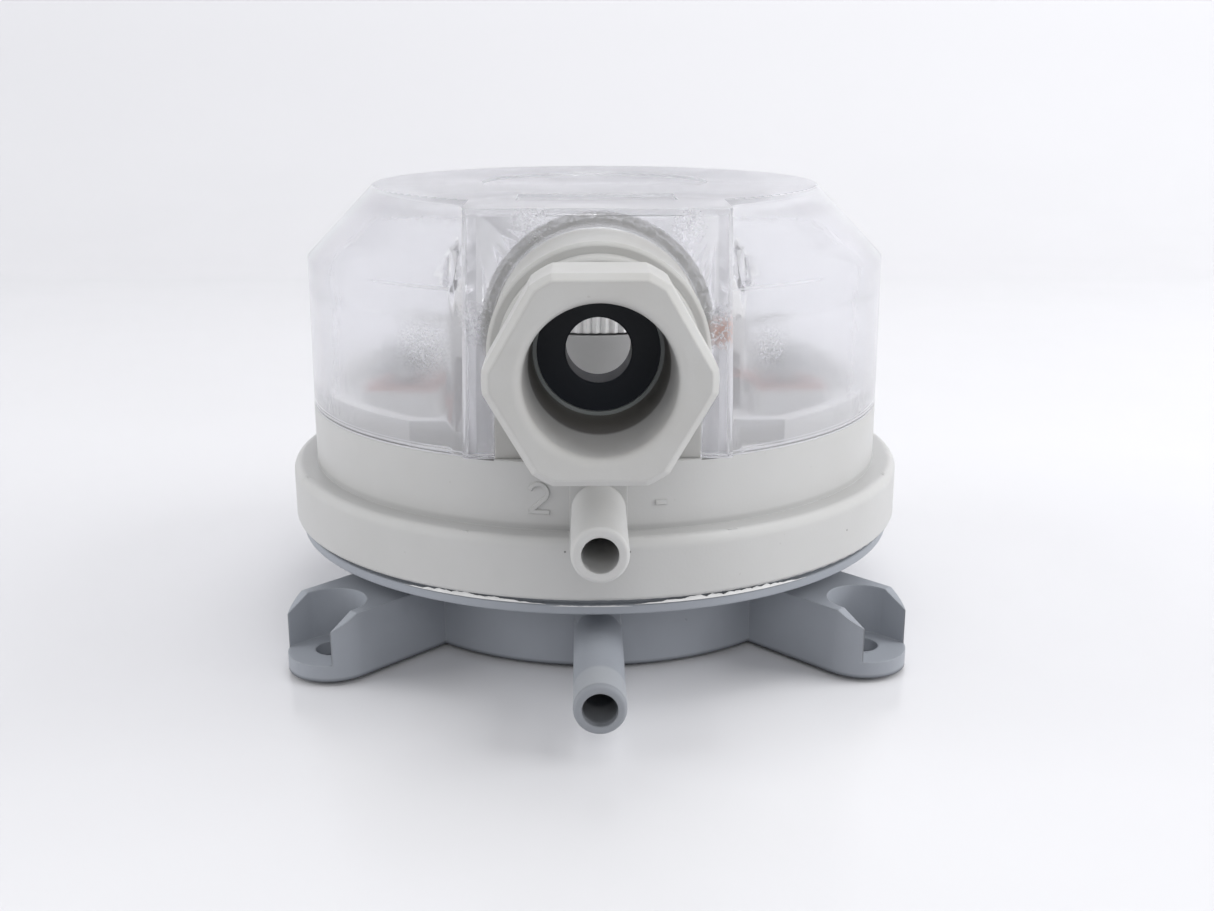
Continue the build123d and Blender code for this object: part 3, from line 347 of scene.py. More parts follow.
def greyMarks(made, tone):                   # worn edges with a painted highlight, painted shade in the bore, the tube lighter towards its front, its front face darker, painted shadow along the foot, grit and a scratch
    look = greyMark
    tone = edgeLine(made, tone, wornAndLitEdge)
    along = made.axis("Y")
    up = made.axis("Z")
    radius = made.reach(made.axis("X"), up - look["portZ"])
    # painted shade deep inside the port's bore
    bore = made.fade(radius, *look["boreR"]) * (1 - made.fade(along, *look["boreY"]))
    tone = made.blend(bore * look["boreAmount"], tone, look["boreColour"])
    tube = made.fade(radius, *look["portR"])
    front = made.fade(along, *look["portY"]) * tube
    tone = made.blend(front * look["portAmount"], tone, look["portColour"])
    face = made.fade(along, *look["faceY"]) * tube
    tone = made.blend(face * look["faceAmount"], tone, look["faceColour"])
    # painted contact shadow along the bottom edge, where the part meets the floor
    tone = made.blend(made.fade(up, *look["footZ"]) * look["footAmount"], tone, look["footColour"])
    low, high = look["gritRange"]
    grit = made.ramp(made.noise(look["gritSize"], look["gritDetail"]), (low, 0.0), (high, 1.0))
    for kind in ("grit", "scratch"):
        for spot in look[f"{kind}Spots"]:
            tone = made.blend(made.within(*spot) * grit * look[f"{kind}Amount"], tone, look[f"{kind}Colour"])
    return tone


# The finishes and what they are made with

beigeLook = {"colour": (0.515, 0.515, 0.510, 1), "shade": (0.485, 0.485, 0.478, 1),
             "dirt": (0.30, 0.29, 0.27, 1), "flowSize": 0.018, "grainSize": 0.00035, "speckSize": 0.0011,
             "speckFrom": 0.79, "speckAmount": 0.35, "rough": 0.38, "roughSpread": 0.08,
             "grainDepth": 0.000012, "edge": 0.00035, "glow": 0.12}
glandLook = dict(beigeLook, colour=(0.51, 0.51, 0.50, 1), shade=(0.475, 0.47, 0.455, 1), flowSize=0.009,
                 edge=0.0005)
collarLook = dict(glandLook, colour=(0.46, 0.46, 0.45, 1), shade=(0.43, 0.425, 0.41, 1))
greyLook = {"colour": (0.315, 0.335, 0.370, 1), "shade": (0.285, 0.303, 0.335, 1),
            "dirt": (0.14, 0.14, 0.14, 1), "flowSize": 0.015, "grainSize": 0.0003, "speckSize": 0.0012,
            "speckFrom": 0.79, "speckAmount": 0.3, "rough": 0.42, "roughSpread": 0.10,
            "grainDepth": 0.000012, "edge": 0.0003}
whiteLook = {"colour": (0.66, 0.66, 0.64, 1), "shade": (0.61, 0.61, 0.59, 1), "dirt": (0.4, 0.4, 0.38, 1),
             "flowSize": 0.008, "grainSize": 0.0003, "speckSize": 0.001, "speckFrom": 0.8,
             "speckAmount": 0.3, "rough": 0.45, "roughSpread": 0.08, "grainDepth": 0.000012,
             "edge": 0.00025, "glow": 0.1}
# the dial is the same white plastic, toned lighter as painted light
litDialLook = dict(whiteLook, colour=(0.77, 0.77, 0.755, 1), shade=(0.72, 0.72, 0.705, 1))
# the carrier is the same white plastic, toned darker as painted shade
shadedCarrierLook = dict(whiteLook, colour=(0.42, 0.42, 0.415, 1), shade=(0.38, 0.38, 0.375, 1), glow=0.0)
rubberLook = {"colour": (0.007, 0.010, 0.016, 1), "shade": (0.011, 0.014, 0.021, 1),
              "dirt": (0.05, 0.05, 0.05, 1), "flowSize": 0.004, "grainSize": 0.0002, "speckSize": 0.0007,
              "speckFrom": 0.77, "speckAmount": 0.4, "rough": 0.55, "roughSpread": 0.12,
              "grainDepth": 0.00001, "edge": 0.0002}
siliconeLook = {"colour": (0.030, 0.030, 0.033, 1), "shade": (0.022, 0.022, 0.024, 1),
                "dirt": (0.01, 0.01, 0.01, 1), "flowSize": 0.006, "grainSize": 0.0003, "speckSize": 0.001,
                "speckFrom": 0.72, "speckAmount": 0.5, "rough": 0.55, "roughSpread": 0.1,
                "grainDepth": 0.00002, "edge": 0.0001}
washerLook = {"colour": (0.30, 0.32, 0.32, 1), "shade": (0.26, 0.28, 0.28, 1), "dirt": (0.1, 0.1, 0.1, 1),
              "flowSize": 0.004, "grainSize": 0.0003, "speckSize": 0.001, "speckFrom": 0.75,
              "speckAmount": 0.4, "rough": 0.4, "roughSpread": 0.1, "grainDepth": 0.00001, "edge": 0.0001}
zincLook = {"colour": (0.52, 0.52, 0.51, 1), "shade": (0.42, 0.43, 0.43, 1), "streakSize": 0.0008,
            "streakStretch": (1, 1, 8), "cloudSize": 0.002, "rough": 0.34, "roughSpread": 0.2,
            "streakDepth": 0.00001, "edge": 0.0002}
wireLook = dict(zincLook, colour=(0.50, 0.50, 0.50, 1), shade=(0.40, 0.40, 0.41, 1), streakSize=0.0005,
                rough=0.3)
brassLook = dict(zincLook, colour=(0.72, 0.55, 0.27, 1), shade=(0.60, 0.43, 0.20, 1), streakSize=0.0006,
                 rough=0.32)
copperLook = dict(zincLook, colour=(0.56, 0.35, 0.30, 1), shade=(0.46, 0.27, 0.23, 1),
                  streakStretch=(10, 1, 1))
silverLook = dict(zincLook, colour=(0.80, 0.79, 0.76, 1), shade=(0.70, 0.68, 0.64, 1), rough=0.28)

# Clear cover: fades are (from, to), bands (from, to, softness), spots (place, inner, outer) and an amount
skinLook = {"colour": (0.97, 0.97, 0.985, 1), "rough": 0.10, "roughSpread": 0.04, "ior": 1.46,
            "cloudSize": 0.012, "cloudDetail": 3.0,
            "grainSize": 0.00032, "grainDetail": 2.0, "grainBreak": 0.6,
            "waveSize": 0.006, "waveDetail": 2.0, "waveShare": 0.06, "bumpDepth": 0.00009,
            "grainSpots": [((-20.5, -33.6, 42.2), 1.0, 5.5), ((20.5, -33.6, 42.2), 0.5, 4.0)],
            "grainHaze": 0.4, "speckRange": (0.42, 0.58),
            "milk": (0.84, 0.84, 0.87, 1), "through": 0.5, "haze": 0.16, "hazeSpread": 0.04,
            "footZ": (31.5, 33.5), "footHaze": 0.06,
            "edge": 0.00030, "edgeRange": (0.01, 0.06), "edgeHighlight": 0.5,
            # rim: painted highlight at the cover's bottom edge
            "rimZ": (29.72, 29.80), "rimHighlight": 0.8, "rimLineZ": (30.08, 30.2, 0.06), "rimLineShare": 0.8,
            "lineZ": (49.2, 49.4, 0.1), "lineX": (21.0, 28.0), "lineHighlight": 0.6,
            # painted shade beside the box's corners
            "smudges": [((-16.4, -35.6, 52.9), 0.3, 1.1, 0.5), ((-16.2, -35.6, 51.6), 0.3, 0.9, 0.45),
                        ((-16.2, -35.6, 50.3), 0.3, 0.9, 0.45), ((16.4, -35.6, 52.9), 0.3, 1.0, 0.35),
                        ((16.2, -35.6, 51.6), 0.3, 0.9, 0.35), ((16.2, -35.6, 50.3), 0.3, 0.9, 0.35)],
            "dusk": (0.24, 0.24, 0.26, 1),
            "archShade": 0.0, "archGrain": 0.0, "archZ": 44.9, "archR": (12.1, 13.2, 0.25),
            "archFootZ": (40.0, 43.0),
            "stripShowThrough": [], "stripShowThroughColour": (0.42, 0.25, 0.20, 1), "lampColour": (0.95, 0.95, 0.96, 1)}
frostLook = dict(skinLook, rough=0.24, roughSpread=0.08, haze=0.24, waveSize=0.0015, waveShare=0.3,
                 lineHighlight=0.0, edgeHighlight=0.0, grainSpots=[], smudges=[])
topLook = dict(skinLook, rough=0.3, haze=0.34, waveShare=0.0, edgeHighlight=0.0, grainSpots=[], smudges=[])
boxLook = dict(skinLook, haze=0.24, hazeSpread=0.05, footHaze=0.20, waveSize=0.004, waveShare=0.1,
               lineHighlight=0.0, archShade=0.42, archGrain=0.4, stripShowThrough=[((14.4, -37.0, 44.6), 0.6, 2.4, 0.8)],
               dusk=(0.26, 0.26, 0.25, 1),
               grainSpots=[((-7.5, -37.0, 57.1), 0.8, 2.6), ((-14.4, -37.0, 45.6), 0.8, 3.2),
                           ((14.6, -37.0, 45.4), 0.8, 3.4), ((10.4, -37.0, 56.6), 0.5, 2.4)])

slotFinish = {
    "beige_housing": moulded("beigeMoulding", beigeLook, housingMarks),
    "grey_housing": moulded("greyMoulding", greyLook, greyMarks),
    "white_plastic": moulded("whiteMoulding", whiteLook),
    "black_rubber": moulded("sealRubber", rubberLook),
    "silicone": moulded("diaphragmSilicone", siliconeLook),
    "grey_washer": moulded("thrustRingPlastic", washerLook),
    "zinc_steel": metal("zincPlate", zincLook),
    "spring_steel": metal("springWire", wireLook),
    "brass": metal("turnedBrass", brassLook),
    "copper_strip": metal("copperStrip", copperLook),
    "contact_silver": metal("contactSilver", silverLook),
    "clear_cover": clearWall("coverSkin", skinLook),
}
coverFrost = clearWall("coverFrost", frostLook)
coverBox = clearWall("coverBox", boxLook)
coverTop = clearWall("coverTop", topLook)
nodeFinish = {
    "gland_nut": moulded("glandMoulding", glandLook, nutMarks),
    "gland_body": moulded("collarMoulding", collarLook, lightEdges),
    "setting_dial": moulded("litDialMoulding", litDialLook),
    "switch_carrier": moulded("shadedCarrierMoulding", shadedCarrierLook),
}
for name, node in nodes.items():
    node.data.materials.clear()
    node.data.materials.append(nodeFinish.get(name, slotFinish[slotOf[name]]))
print("stage: finishes")


# Meshes

mergeGap = 0.000001
weldGap = 0.000002


def newPiece(name, data, finish):
    piece = bpy.data.objects.new(name, data)
    data.materials.append(finish)
    bpy.context.scene.collection.objects.link(piece)
    return piece


def closedMesh(name, mesh):                  # bmesh to mesh data, doubles merged and normals outward
    bmesh.ops.remove_doubles(mesh, verts=mesh.verts, dist=mergeGap)
    bmesh.ops.recalc_face_normals(mesh, faces=mesh.faces)
    data = bpy.data.meshes.new(name)
    mesh.to_mesh(data)
    mesh.free()
    return data


def weldedCopy(node, name):                  # the node's own shape as one clean shell, to be dressed
    copy = nodes[node].copy()
    copy.data = nodes[node].data.copy()
    copy.name = name
    copy.data.name = name
    for key in list(copy.keys()):
        del copy[key]
    copy.parent = None
    bpy.context.scene.collection.objects.link(copy)
    mesh = bmesh.new()
    mesh.from_mesh(copy.data)
    bmesh.ops.remove_doubles(mesh, verts=mesh.verts, dist=weldGap)
    mesh.to_mesh(copy.data)
    mesh.free()
    return copy


def smoothBy(piece, angle):                  # round shapes shade smooth, corners stay crisp
    for face in piece.data.polygons:
        face.use_smooth = True
    piece.data.set_sharp_from_angle(angle=radians(angle))


def sweptRows(rows, closed):                 # quads between rows of points, ends shut with caps
    mesh = bmesh.new()
    made = [[mesh.verts.new(point) for point in row] for row in rows]
    pairs = list(zip(made, made[1:])) + ([(made[-1], made[0])] if closed else [])
    for near, far in pairs:
        for here in range(len(near)):
            after = (here + 1) % len(near)
            mesh.faces.new((near[here], near[after], far[after], far[here]))
    if not closed:
        mesh.faces.new(made[0])
        mesh.faces.new(made[-1])
    return mesh


def lathed(profile, steps):                  # turned solid about Z, profile from axis to axis
    mesh = bmesh.new()
    foot = mesh.verts.new((0, 0, profile[0][1]))
    head = mesh.verts.new((0, 0, profile[-1][1]))
    rings = []
    for radius, height in profile[1:-1]:
        ring = []
        for turn in range(steps):
            angle = 2 * pi * turn / steps
            ring.append(mesh.verts.new((radius * cos(angle), radius * sin(angle), height)))
        rings.append(ring)
    for here in range(steps):
        after = (here + 1) % steps
        mesh.faces.new((foot, rings[0][after], rings[0][here]))
        mesh.faces.new((head, rings[-1][here], rings[-1][after]))
        for low, high in zip(rings, rings[1:]):
            mesh.faces.new((low[here], low[after], high[after], high[here]))
    return mesh


# Geometry Nodes: copies of one small mesh set round a circle

def polarCopies():
    tree = bpy.data.node_groups.new("polarCopies", "GeometryNodeTree")
    face = tree.interface
    face.new_socket("Geometry", in_out="INPUT", socket_type="NodeSocketGeometry")
    names = {}
    for label, kind in (("Count", "Int"), ("Radius", "Float"), ("Start Angle", "Float"),
                        ("Step Angle", "Float"), ("Height", "Float"), ("Spin", "Float"), ("Seed", "Int"),
                        ("Long Every", "Int"), ("Long Scale", "Vector"), ("Finish", "Material")):
        made = face.new_socket(label, in_out="INPUT", socket_type=f"NodeSocket{kind}")
        names[label] = made.identifier
    face.new_socket("Geometry", in_out="OUTPUT", socket_type="NodeSocketGeometry")

    def node(kind, settings=None, sockets=None, out=0):
        return addNode(tree, kind, settings, sockets).outputs[out]

    def maths(operation, first, second=0.0):
        return node("ShaderNodeMath", {"operation": operation}, {0: first, 1: second})

    start = addNode(tree, "NodeGroupInput").outputs
    index = node("GeometryNodeInputIndex")
    angle = maths("ADD", start["Start Angle"], maths("MULTIPLY", index, start["Step Angle"]))
    across = maths("MULTIPLY", start["Radius"], maths("COSINE", angle))
    along = maths("MULTIPLY", start["Radius"], maths("SINE", angle))
    place = node("ShaderNodeCombineXYZ", sockets={0: across, 1: along, 2: start["Height"]})
    points = node("GeometryNodePoints", sockets={"Count": start["Count"], "Position": place})
    chance = node("FunctionNodeRandomValue", {"data_type": "FLOAT"}, {"Seed": start["Seed"]}, "Value")
    spin = maths("ADD", angle, maths("MULTIPLY", start["Spin"], chance))
    turn = node("ShaderNodeCombineXYZ", sockets={2: spin})
    isLong = maths("LESS_THAN", maths("MODULO", index, start["Long Every"]), 0.5)
    scale = node("ShaderNodeMix", {"data_type": "VECTOR"},
                 {0: isLong, 4: (1, 1, 1), 5: start["Long Scale"]}, out=1)
    copies = node("GeometryNodeInstanceOnPoints", sockets={
        "Points": points, "Instance": start["Geometry"], "Rotation": turn, "Scale": scale})
    solid = node("GeometryNodeRealizeInstances", sockets={0: copies})
    shown = node("GeometryNodeSetMaterial", sockets={"Geometry": solid, "Material": start["Finish"]})
    addNode(tree, "NodeGroupOutput", sockets={0: shown})
    return tree, names


def grown(name, data, look, finish):         # the copies as one plain mesh
    tree, names = copyTree
    seedPiece = bpy.data.objects.new(name, data)
    bpy.context.scene.collection.objects.link(seedPiece)
    modifier = seedPiece.modifiers.new("copies", "NODES")
    modifier.node_group = tree
    values = {"Count": look["count"], "Radius": look["radius"] * mm, "Start Angle": radians(look["start"]),
              "Step Angle": radians(look["step"]), "Height": look["height"] * mm, "Spin": look["spin"],
              "Seed": look["seed"], "Long Every": look["longEvery"], "Long Scale": look["longScale"],
              "Finish": finish}
    for label, value in values.items():
        modifier[names[label]] = value
    shown = seedPiece.evaluated_get(bpy.context.evaluated_depsgraph_get())
    whole = bpy.data.meshes.new_from_object(shown)
    seedPiece.modifiers.clear()
    seedPiece.data = whole
    whole.name = name
    return seedPiece


copyTree = polarCopies()


# Clear cover: milky round wall, clearer box with grainy patches

coverLook = {"boxHalf": 16.05, "boxFrom": -30.0, "foot": 30.1, "topFrom": 56.0, "roofFrom": 40.0,
             "lean": 0.02, "down": 0.5, "flat": 0.9, "smooth": 35}


def coverFinish(spot, normal, look):         # which finish a face of the cover gets
    away = Vector((spot.x, spot.y, 0))
    inward = normal.dot(away) < -look["lean"] * away.length
    ceiling = normal.z < -look["down"] and spot.z > look["roofFrom"]
    if spot.z > look["topFrom"] and abs(normal.z) > look["flat"]:
        return coverTop
    if abs(spot.x) < look["boxHalf"] and spot.y < look["boxFrom"]:
        return coverBox
    if (inward or ceiling) and spot.z > look["foot"]:
        return coverFrost
    return slotFinish["clear_cover"]


cover = weldedCopy("clear_cover", "coverShell")
coverFinishes = [slotFinish["clear_cover"], coverFrost, coverBox, coverTop]
cover.data.materials.clear()
for finish in coverFinishes:
    cover.data.materials.append(finish)
for face in cover.data.polygons:
    face.material_index = coverFinishes.index(coverFinish(face.center / mm, face.normal, coverLook))
smoothBy(cover, coverLook["smooth"])
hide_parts("clear_cover")
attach(cover, bodyOf["clear_cover"])
print("stage: clear cover")


# Screws of the can: pan heads with a cross recess and a cut thread

screwLook = {"dome": ((0, 0), (1.5, 0), (2.1, 0.15), (2.45, 0.4), (2.6, 0.8)), "headR": 2.6,
             "headFrom": 10.2, "headTo": 11.8, "neck": 0.4, "shankR": 1.4, "rootR": 1.2, "pitch": 0.8,
             "tip": 20.8, "tipR": 0.5, "tipLength": 0.6, "steps": 48, "smooth": 35,
             "crossLength": 2.6, "crossWidth": 0.65, "crossDepth": 0.8, "crossAbove": 0.5,
             "crossWide": 1.1, "crossNarrow": 0.8,
             "count": 8, "radius": 35.9, "start": 22.5, "step": 45.0, "height": 0.0, "spin": 1.5, "seed": 5,
             "longEvery": 99, "longScale": (1, 1, 1)}


def crossCutter(turn, look):                 # one arm of the cross, narrower towards its floor
    length, width = look["crossLength"] / 2 * mm, look["crossWidth"] / 2 * mm
    corners = [(length, width), (-length, width), (-length, -width), (length, -width)]
    if turn:
        corners = [(-y, x) for x, y in corners]
    mouth, bottom = look["headFrom"] - look["crossAbove"], look["headFrom"] + look["crossDepth"]
    rows = []
    for level, share in ((mouth, look["crossWide"]), (bottom, look["crossNarrow"])):
        rows.append([(x * share, y * share, level * mm) for x, y in corners])
    name = f"crossCutter{turn}"
    cutter = bpy.data.objects.new(name, closedMesh(name, sweptRows(rows, False)))
    bpy.context.scene.collection.objects.link(cutter)
    return cutter


def screwBlank(look):                        # the head is at the bottom, the thread points up
    low, high = look["headFrom"], look["headTo"]
    threadEnd = look["tip"] - look["tipLength"]
    profile = [(radius, low + rise) for radius, rise in look["dome"]]
    profile += [(look["headR"], high), (look["shankR"], high)]
    height = high + look["neck"]
    while height + look["pitch"] < threadEnd:
        profile += [(look["rootR"], height), (look["shankR"], height + look["pitch"] / 2)]
        height += look["pitch"]
    profile += [(look["rootR"], threadEnd), (look["tipR"], look["tip"]), (0, look["tip"])]
    blank = lathed([(r * mm, z * mm) for r, z in profile], look["steps"])
    screw = bpy.data.objects.new("screwBlank", closedMesh("screwBlank", blank))
    bpy.context.scene.collection.objects.link(screw)
    cutters = [crossCutter(turn, look) for turn in range(2)]
    for turn, cutter in enumerate(cutters):
        cut = screw.modifiers.new(f"cross{turn}", "BOOLEAN")
        cut.object = cutter
        cut.operation = "DIFFERENCE"
    data = bpy.data.meshes.new_from_object(screw.evaluated_get(bpy.context.evaluated_depsgraph_get()))
    for spare in cutters + [screw]:
        bpy.data.objects.remove(spare, do_unlink=True)
    return data


screws = grown("canScrews", screwBlank(screwLook), screwLook, slotFinish["zinc_steel"])
smoothBy(screws, screwLook["smooth"])
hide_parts("housing_screws")
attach(screws, bodyOf["housing_screws"])
print("stage: can screws")


# Diaphragm, cut across its roll's outer leg: the disc rises with the plunger, the rim stays clamped

rollLook = {"middle": 25.8, "split": 14.9, "clamped": 13.9, "cutGap": 0.0000001, "smooth": 35}


def outsideRoll(face, look):
    return face.calc_center_median().xy.length > look["middle"] * mm


def onRim(face, look):
    return outsideRoll(face, look) and face.calc_center_median().z < look["split"] * mm


def partOfDiaphragm(name, look, outer):
    piece = weldedCopy("diaphragm", name)
    mesh = bmesh.new()
    mesh.from_mesh(piece.data)
    leg = [face for face in mesh.faces if outsideRoll(face, look)]
    parts = set(leg)
    for face in leg:
        parts.update(face.verts)
        parts.update(face.edges)
    bmesh.ops.bisect_plane(mesh, geom=list(parts), dist=look["cutGap"], plane_co=(0, 0, look["split"] * mm),
                           plane_no=(0, 0, 1))
    spare = [face for face in mesh.faces if onRim(face, look) != outer]
    bmesh.ops.delete(mesh, geom=spare, context="FACES")
    border = [edge for edge in mesh.edges if edge.is_boundary]
    bmesh.ops.bridge_loops(mesh, edges=border)
    bmesh.ops.recalc_face_normals(mesh, faces=mesh.faces)
    mesh.to_mesh(piece.data)
    mesh.free()
    smoothBy(piece, look["smooth"])
    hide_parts("diaphragm")
    return piece


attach(partOfDiaphragm("diaphragmDisc", rollLook, False), "plunger")
# The node is hidden by now
diaphragmRim = partOfDiaphragm("diaphragmRim", rollLook, True)
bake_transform(diaphragmRim)
print("stage: diaphragm")


# Setting spring: two halves of one coil

springLook = {"radius": 4.35, "wire": 0.3, "turns": 4.0, "foot": 32.15, "head": 35.85, "steps": 48,
              "sides": 12, "smooth": 50, "still": 0.35, "reach": 1.4}


def springHalf(name, look, first, last):
    count = int((last - first) * look["steps"])
    rise = (look["head"] - look["foot"]) / look["turns"]
    slope = rise / (2 * pi * look["radius"])
    rows = []
    for step in range(count + 1):
        turn = first + step / look["steps"]
        angle = 2 * pi * turn
        level = look["foot"] + rise * turn
        middle = Vector((look["radius"] * cos(angle), look["radius"] * sin(angle), level))
        along = Vector((-sin(angle), cos(angle), slope)).normalized()
        outward = Vector((cos(angle), sin(angle), 0))
        upward = along.cross(outward)
        ring = []
        for side in range(look["sides"]):
            roll = 2 * pi * side / look["sides"]
            ring.append((middle + (outward * cos(roll) + upward * sin(roll)) * look["wire"]) * mm)
        rows.append(ring)
    half = newPiece(name, closedMesh(name, sweptRows(rows, False)), slotFinish["spring_steel"])
    smoothBy(half, look["smooth"])
    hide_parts("setting_spring")
    return half


springMiddle = (springLook["foot"] + springLook["head"]) / 2 * mm
springReach = springLook["reach"] * mm
halfTurns = springLook["turns"] / 2
for name, first, follows, way in (("springLower", 0.0, "arm", -1), ("springUpper", halfTurns, "seat", 1)):
    half = springHalf(name, springLook, first, first + halfTurns)
    near = springMiddle + way * springLook["still"] * mm
    near + way * springReach
    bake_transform(half)
print("stage: setting spring")


# Dial: printed ticks on the rim and plain numbers on the web

tickLook = {"length": 0.9, "width": 0.16, "thick": 0.03, "shoulder": 0.6, "topWidth": 0.85,
            "count": 28, "radius": 14.25, "start": -135.0, "step": 10.0, "height": 44.69, "spin": 0.0,
            "seed": 3, "longEvery": 3, "longScale": (1.5, 1.6, 1)}
inkLook = {"colour": (0.05, 0.05, 0.055, 1), "shade": (0.08, 0.08, 0.085, 1), "dirt": (0.2, 0.2, 0.2, 1),
           "flowSize": 0.002, "grainSize": 0.0002, "speckSize": 0.0006, "speckFrom": 0.7, "speckAmount": 0.4,
           "rough": 0.5, "roughSpread": 0.1, "grainDepth": 0.000005, "edge": 0.00005}
dialInk = moulded("dialInk", inkLook)


def tickBlank(look):
    half, side = look["length"] / 2 * mm, look["width"] / 2 * mm
    shoulder = look["thick"] * look["shoulder"] * mm
    rows = []
    for level, share in ((0.0, 1.0), (shoulder, 1.0), (look["thick"] * mm, look["topWidth"])):
        rows.append([(half, side * share, level), (-half, side * share, level),
                     (-half, -side * share, level), (half, -side * share, level)])
    return closedMesh("tickBlank", sweptRows(rows, False))


ticks = grown("dialTicks", tickBlank(tickLook), tickLook, dialInk)
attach(ticks, bodyOf["setting_dial"])

numberLook = {"count": 7, "start": -135.0, "step": 45.0, "radius": 10.6, "height": 41.70, "size": 2.6,
              "thick": 0.03}


def dialNumbers(look):
    mesh = bmesh.new()
    for number in range(look["count"]):
        text = bpy.data.curves.new("dialNumber", "FONT")
        text.body = str(number + 1)
        text.size = look["size"] * mm
        text.extrude = look["thick"] * mm
        text.align_x = "CENTER"
        text.align_y = "CENTER"
        sign = bpy.data.objects.new("dialNumber", text)
        bpy.context.scene.collection.objects.link(sign)
        flat = bpy.data.meshes.new_from_object(sign.evaluated_get(bpy.context.evaluated_depsgraph_get()))
        angle = radians(look["start"] + look["step"] * number)
        place = Vector((look["radius"] * cos(angle), look["radius"] * sin(angle), look["height"])) * mm
        for vertex in flat.vertices:
            x, y, z = vertex.co
            turned = Vector((x * sin(angle) + y * cos(angle), y * sin(angle) - x * cos(angle), z))
            vertex.co = place + turned
        mesh.from_mesh(flat)
        bpy.data.objects.remove(sign, do_unlink=True)
        bpy.data.meshes.remove(flat)
    return closedMesh("dialNumbers", mesh)


numbers = newPiece("dialNumbers", dialNumbers(numberLook), dialInk)
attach(numbers, bodyOf["setting_dial"])
print("stage: dial scale")


# Raised marks on the upper wall: a plain 2 and a bar

markLook = {"wallR": 39.3, "width": 0.55, "raised": 0.20, "sunk": 0.05, "shoulder": 0.6, "topWidth": 0.8,
            "at": (-8.25, 23.45)}
barLook = dict(markLook, at=(6.75, 24.75), width=0.62)
bowLook = {"at": (1.25, 2.55), "radius": 1.05, "from": 165, "to": -41, "step": -12}


def raisedStroke(name, points, look, finish):   # a flat-topped rib along a line on the round wall
    half = look["width"] / 2
    shoulder, top = look["raised"] * look["shoulder"], look["topWidth"]
    section = ((1.0, -look["sunk"]), (1.0, shoulder), (top, look["raised"]),
               (-top, look["raised"]), (-1.0, shoulder), (-1.0, -look["sunk"]))
    rows = []
    for here, (s, z) in enumerate(points):
        before = points[max(here - 1, 0)]
        after = points[min(here + 1, len(points) - 1)]
        along = Vector((after[0] - before[0], after[1] - before[1])).normalized()
        side = Vector((-along.y, along.x))
        row = []
        for reach, out in section:
            angle = (look["at"][0] + s + side.x * half * reach) / look["wallR"]
            height = look["at"][1] + z + side.y * half * reach
            radius = look["wallR"] + out
            row.append((radius * sin(angle) * mm, -radius * cos(angle) * mm, height * mm))
        rows.append(row)
    piece = newPiece(name, closedMesh(name, sweptRows(rows, False)), finish)
    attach(piece, "can")


def bowPoints(look):                         # the round head of the 2
    points = []
    for turn in range(look["from"], look["to"], look["step"]):
        points.append((look["at"][0] + look["radius"] * cos(radians(turn)),
                       look["at"][1] + look["radius"] * sin(radians(turn))))
    return points


markFinish = moulded("raisedMark", dict(beigeLook, edge=0.00005), darkEdges)
twoPoints = bowPoints(bowLook) + [(1.3, 1.2), (0.6, 0.55), (0.25, 0.2)]
raisedStroke("markTwo", twoPoints, markLook, markFinish)
raisedStroke("markTwoFoot", [(0.05, 0.2), (1.3, 0.2), (2.55, 0.2)], markLook, markFinish)
raisedStroke("markBar", [(0.0, 0.0), (0.65, 0.0), (1.35, 0.0)], barLook, markFinish)
print("stage: raised marks")


# Moulding flash: thin slivers in the gap between skirt and rim, near white as a painted highlight

# near-white colour: partly a painted highlight along the gap
flashHighlightLook = {"colour": (0.80, 0.80, 0.79, 1), "shade": (0.70, 0.70, 0.69, 1), "dirt": (0.5, 0.5, 0.5, 1),
             "flowSize": 0.002, "grainSize": 0.0003, "speckSize": 0.001, "speckFrom": 0.8,
             "speckAmount": 0.2, "rough": 0.3, "roughSpread": 0.1, "grainDepth": 0.00001, "edge": 0.00003}
flashHighlightFinish = moulded("mouldingFlashHighlight", flashHighlightLook)
flashRuns = [
    {"from": -34.5, "to": -8.5, "radius": 41.72, "foot": 13.08, "tall": 0.52, "seed": 4, "taper": 26},
    {"from": -8.0, "to": 5.5, "radius": 41.60, "foot": 12.84, "tall": 0.14, "seed": 8, "taper": 6},
    {"from": 5.8, "to": 38.0, "radius": 41.72, "foot": 13.08, "tall": 0.50, "seed": 15, "taper": 26},
]


ribbonLook = {"perDegree": 3, "thick": 0.05, "least": 0.35, "endTall": 0.05}


def flashRibbon(look, shape):                # height wanders so the sliver looks torn
    chance = Random(look["seed"])
    count = int((look["to"] - look["from"]) * shape["perDegree"])
    rough = [chance.random() for step in range(count + 3)]
    rows = []
    for step in range(count + 1):
        angle = radians(look["from"] + (look["to"] - look["from"]) * step / count)
        wander = (rough[step] + rough[step + 1] + rough[step + 2]) / 3
        end = min(step, count - step, look["taper"]) / look["taper"]
        tall = look["tall"] * (shape["least"] + wander) * max(end, shape["endTall"])
        row = []
        for out, up in ((0.0, 0.0), (shape["thick"], 0.0), (shape["thick"], tall), (0.0, tall)):
            radius = (look["radius"] + out) * mm
            row.append((radius * sin(angle), -radius * cos(angle), (look["foot"] + up) * mm))
        rows.append(row)
    return closedMesh("flashRibbon", sweptRows(rows, False))


for look in flashRuns:
    flash = newPiece(f"flash{look['seed']}", flashRibbon(look, ribbonLook), flashHighlightFinish)
    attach(flash, "can")
print("stage: moulding flash")


# Camera, floor and light

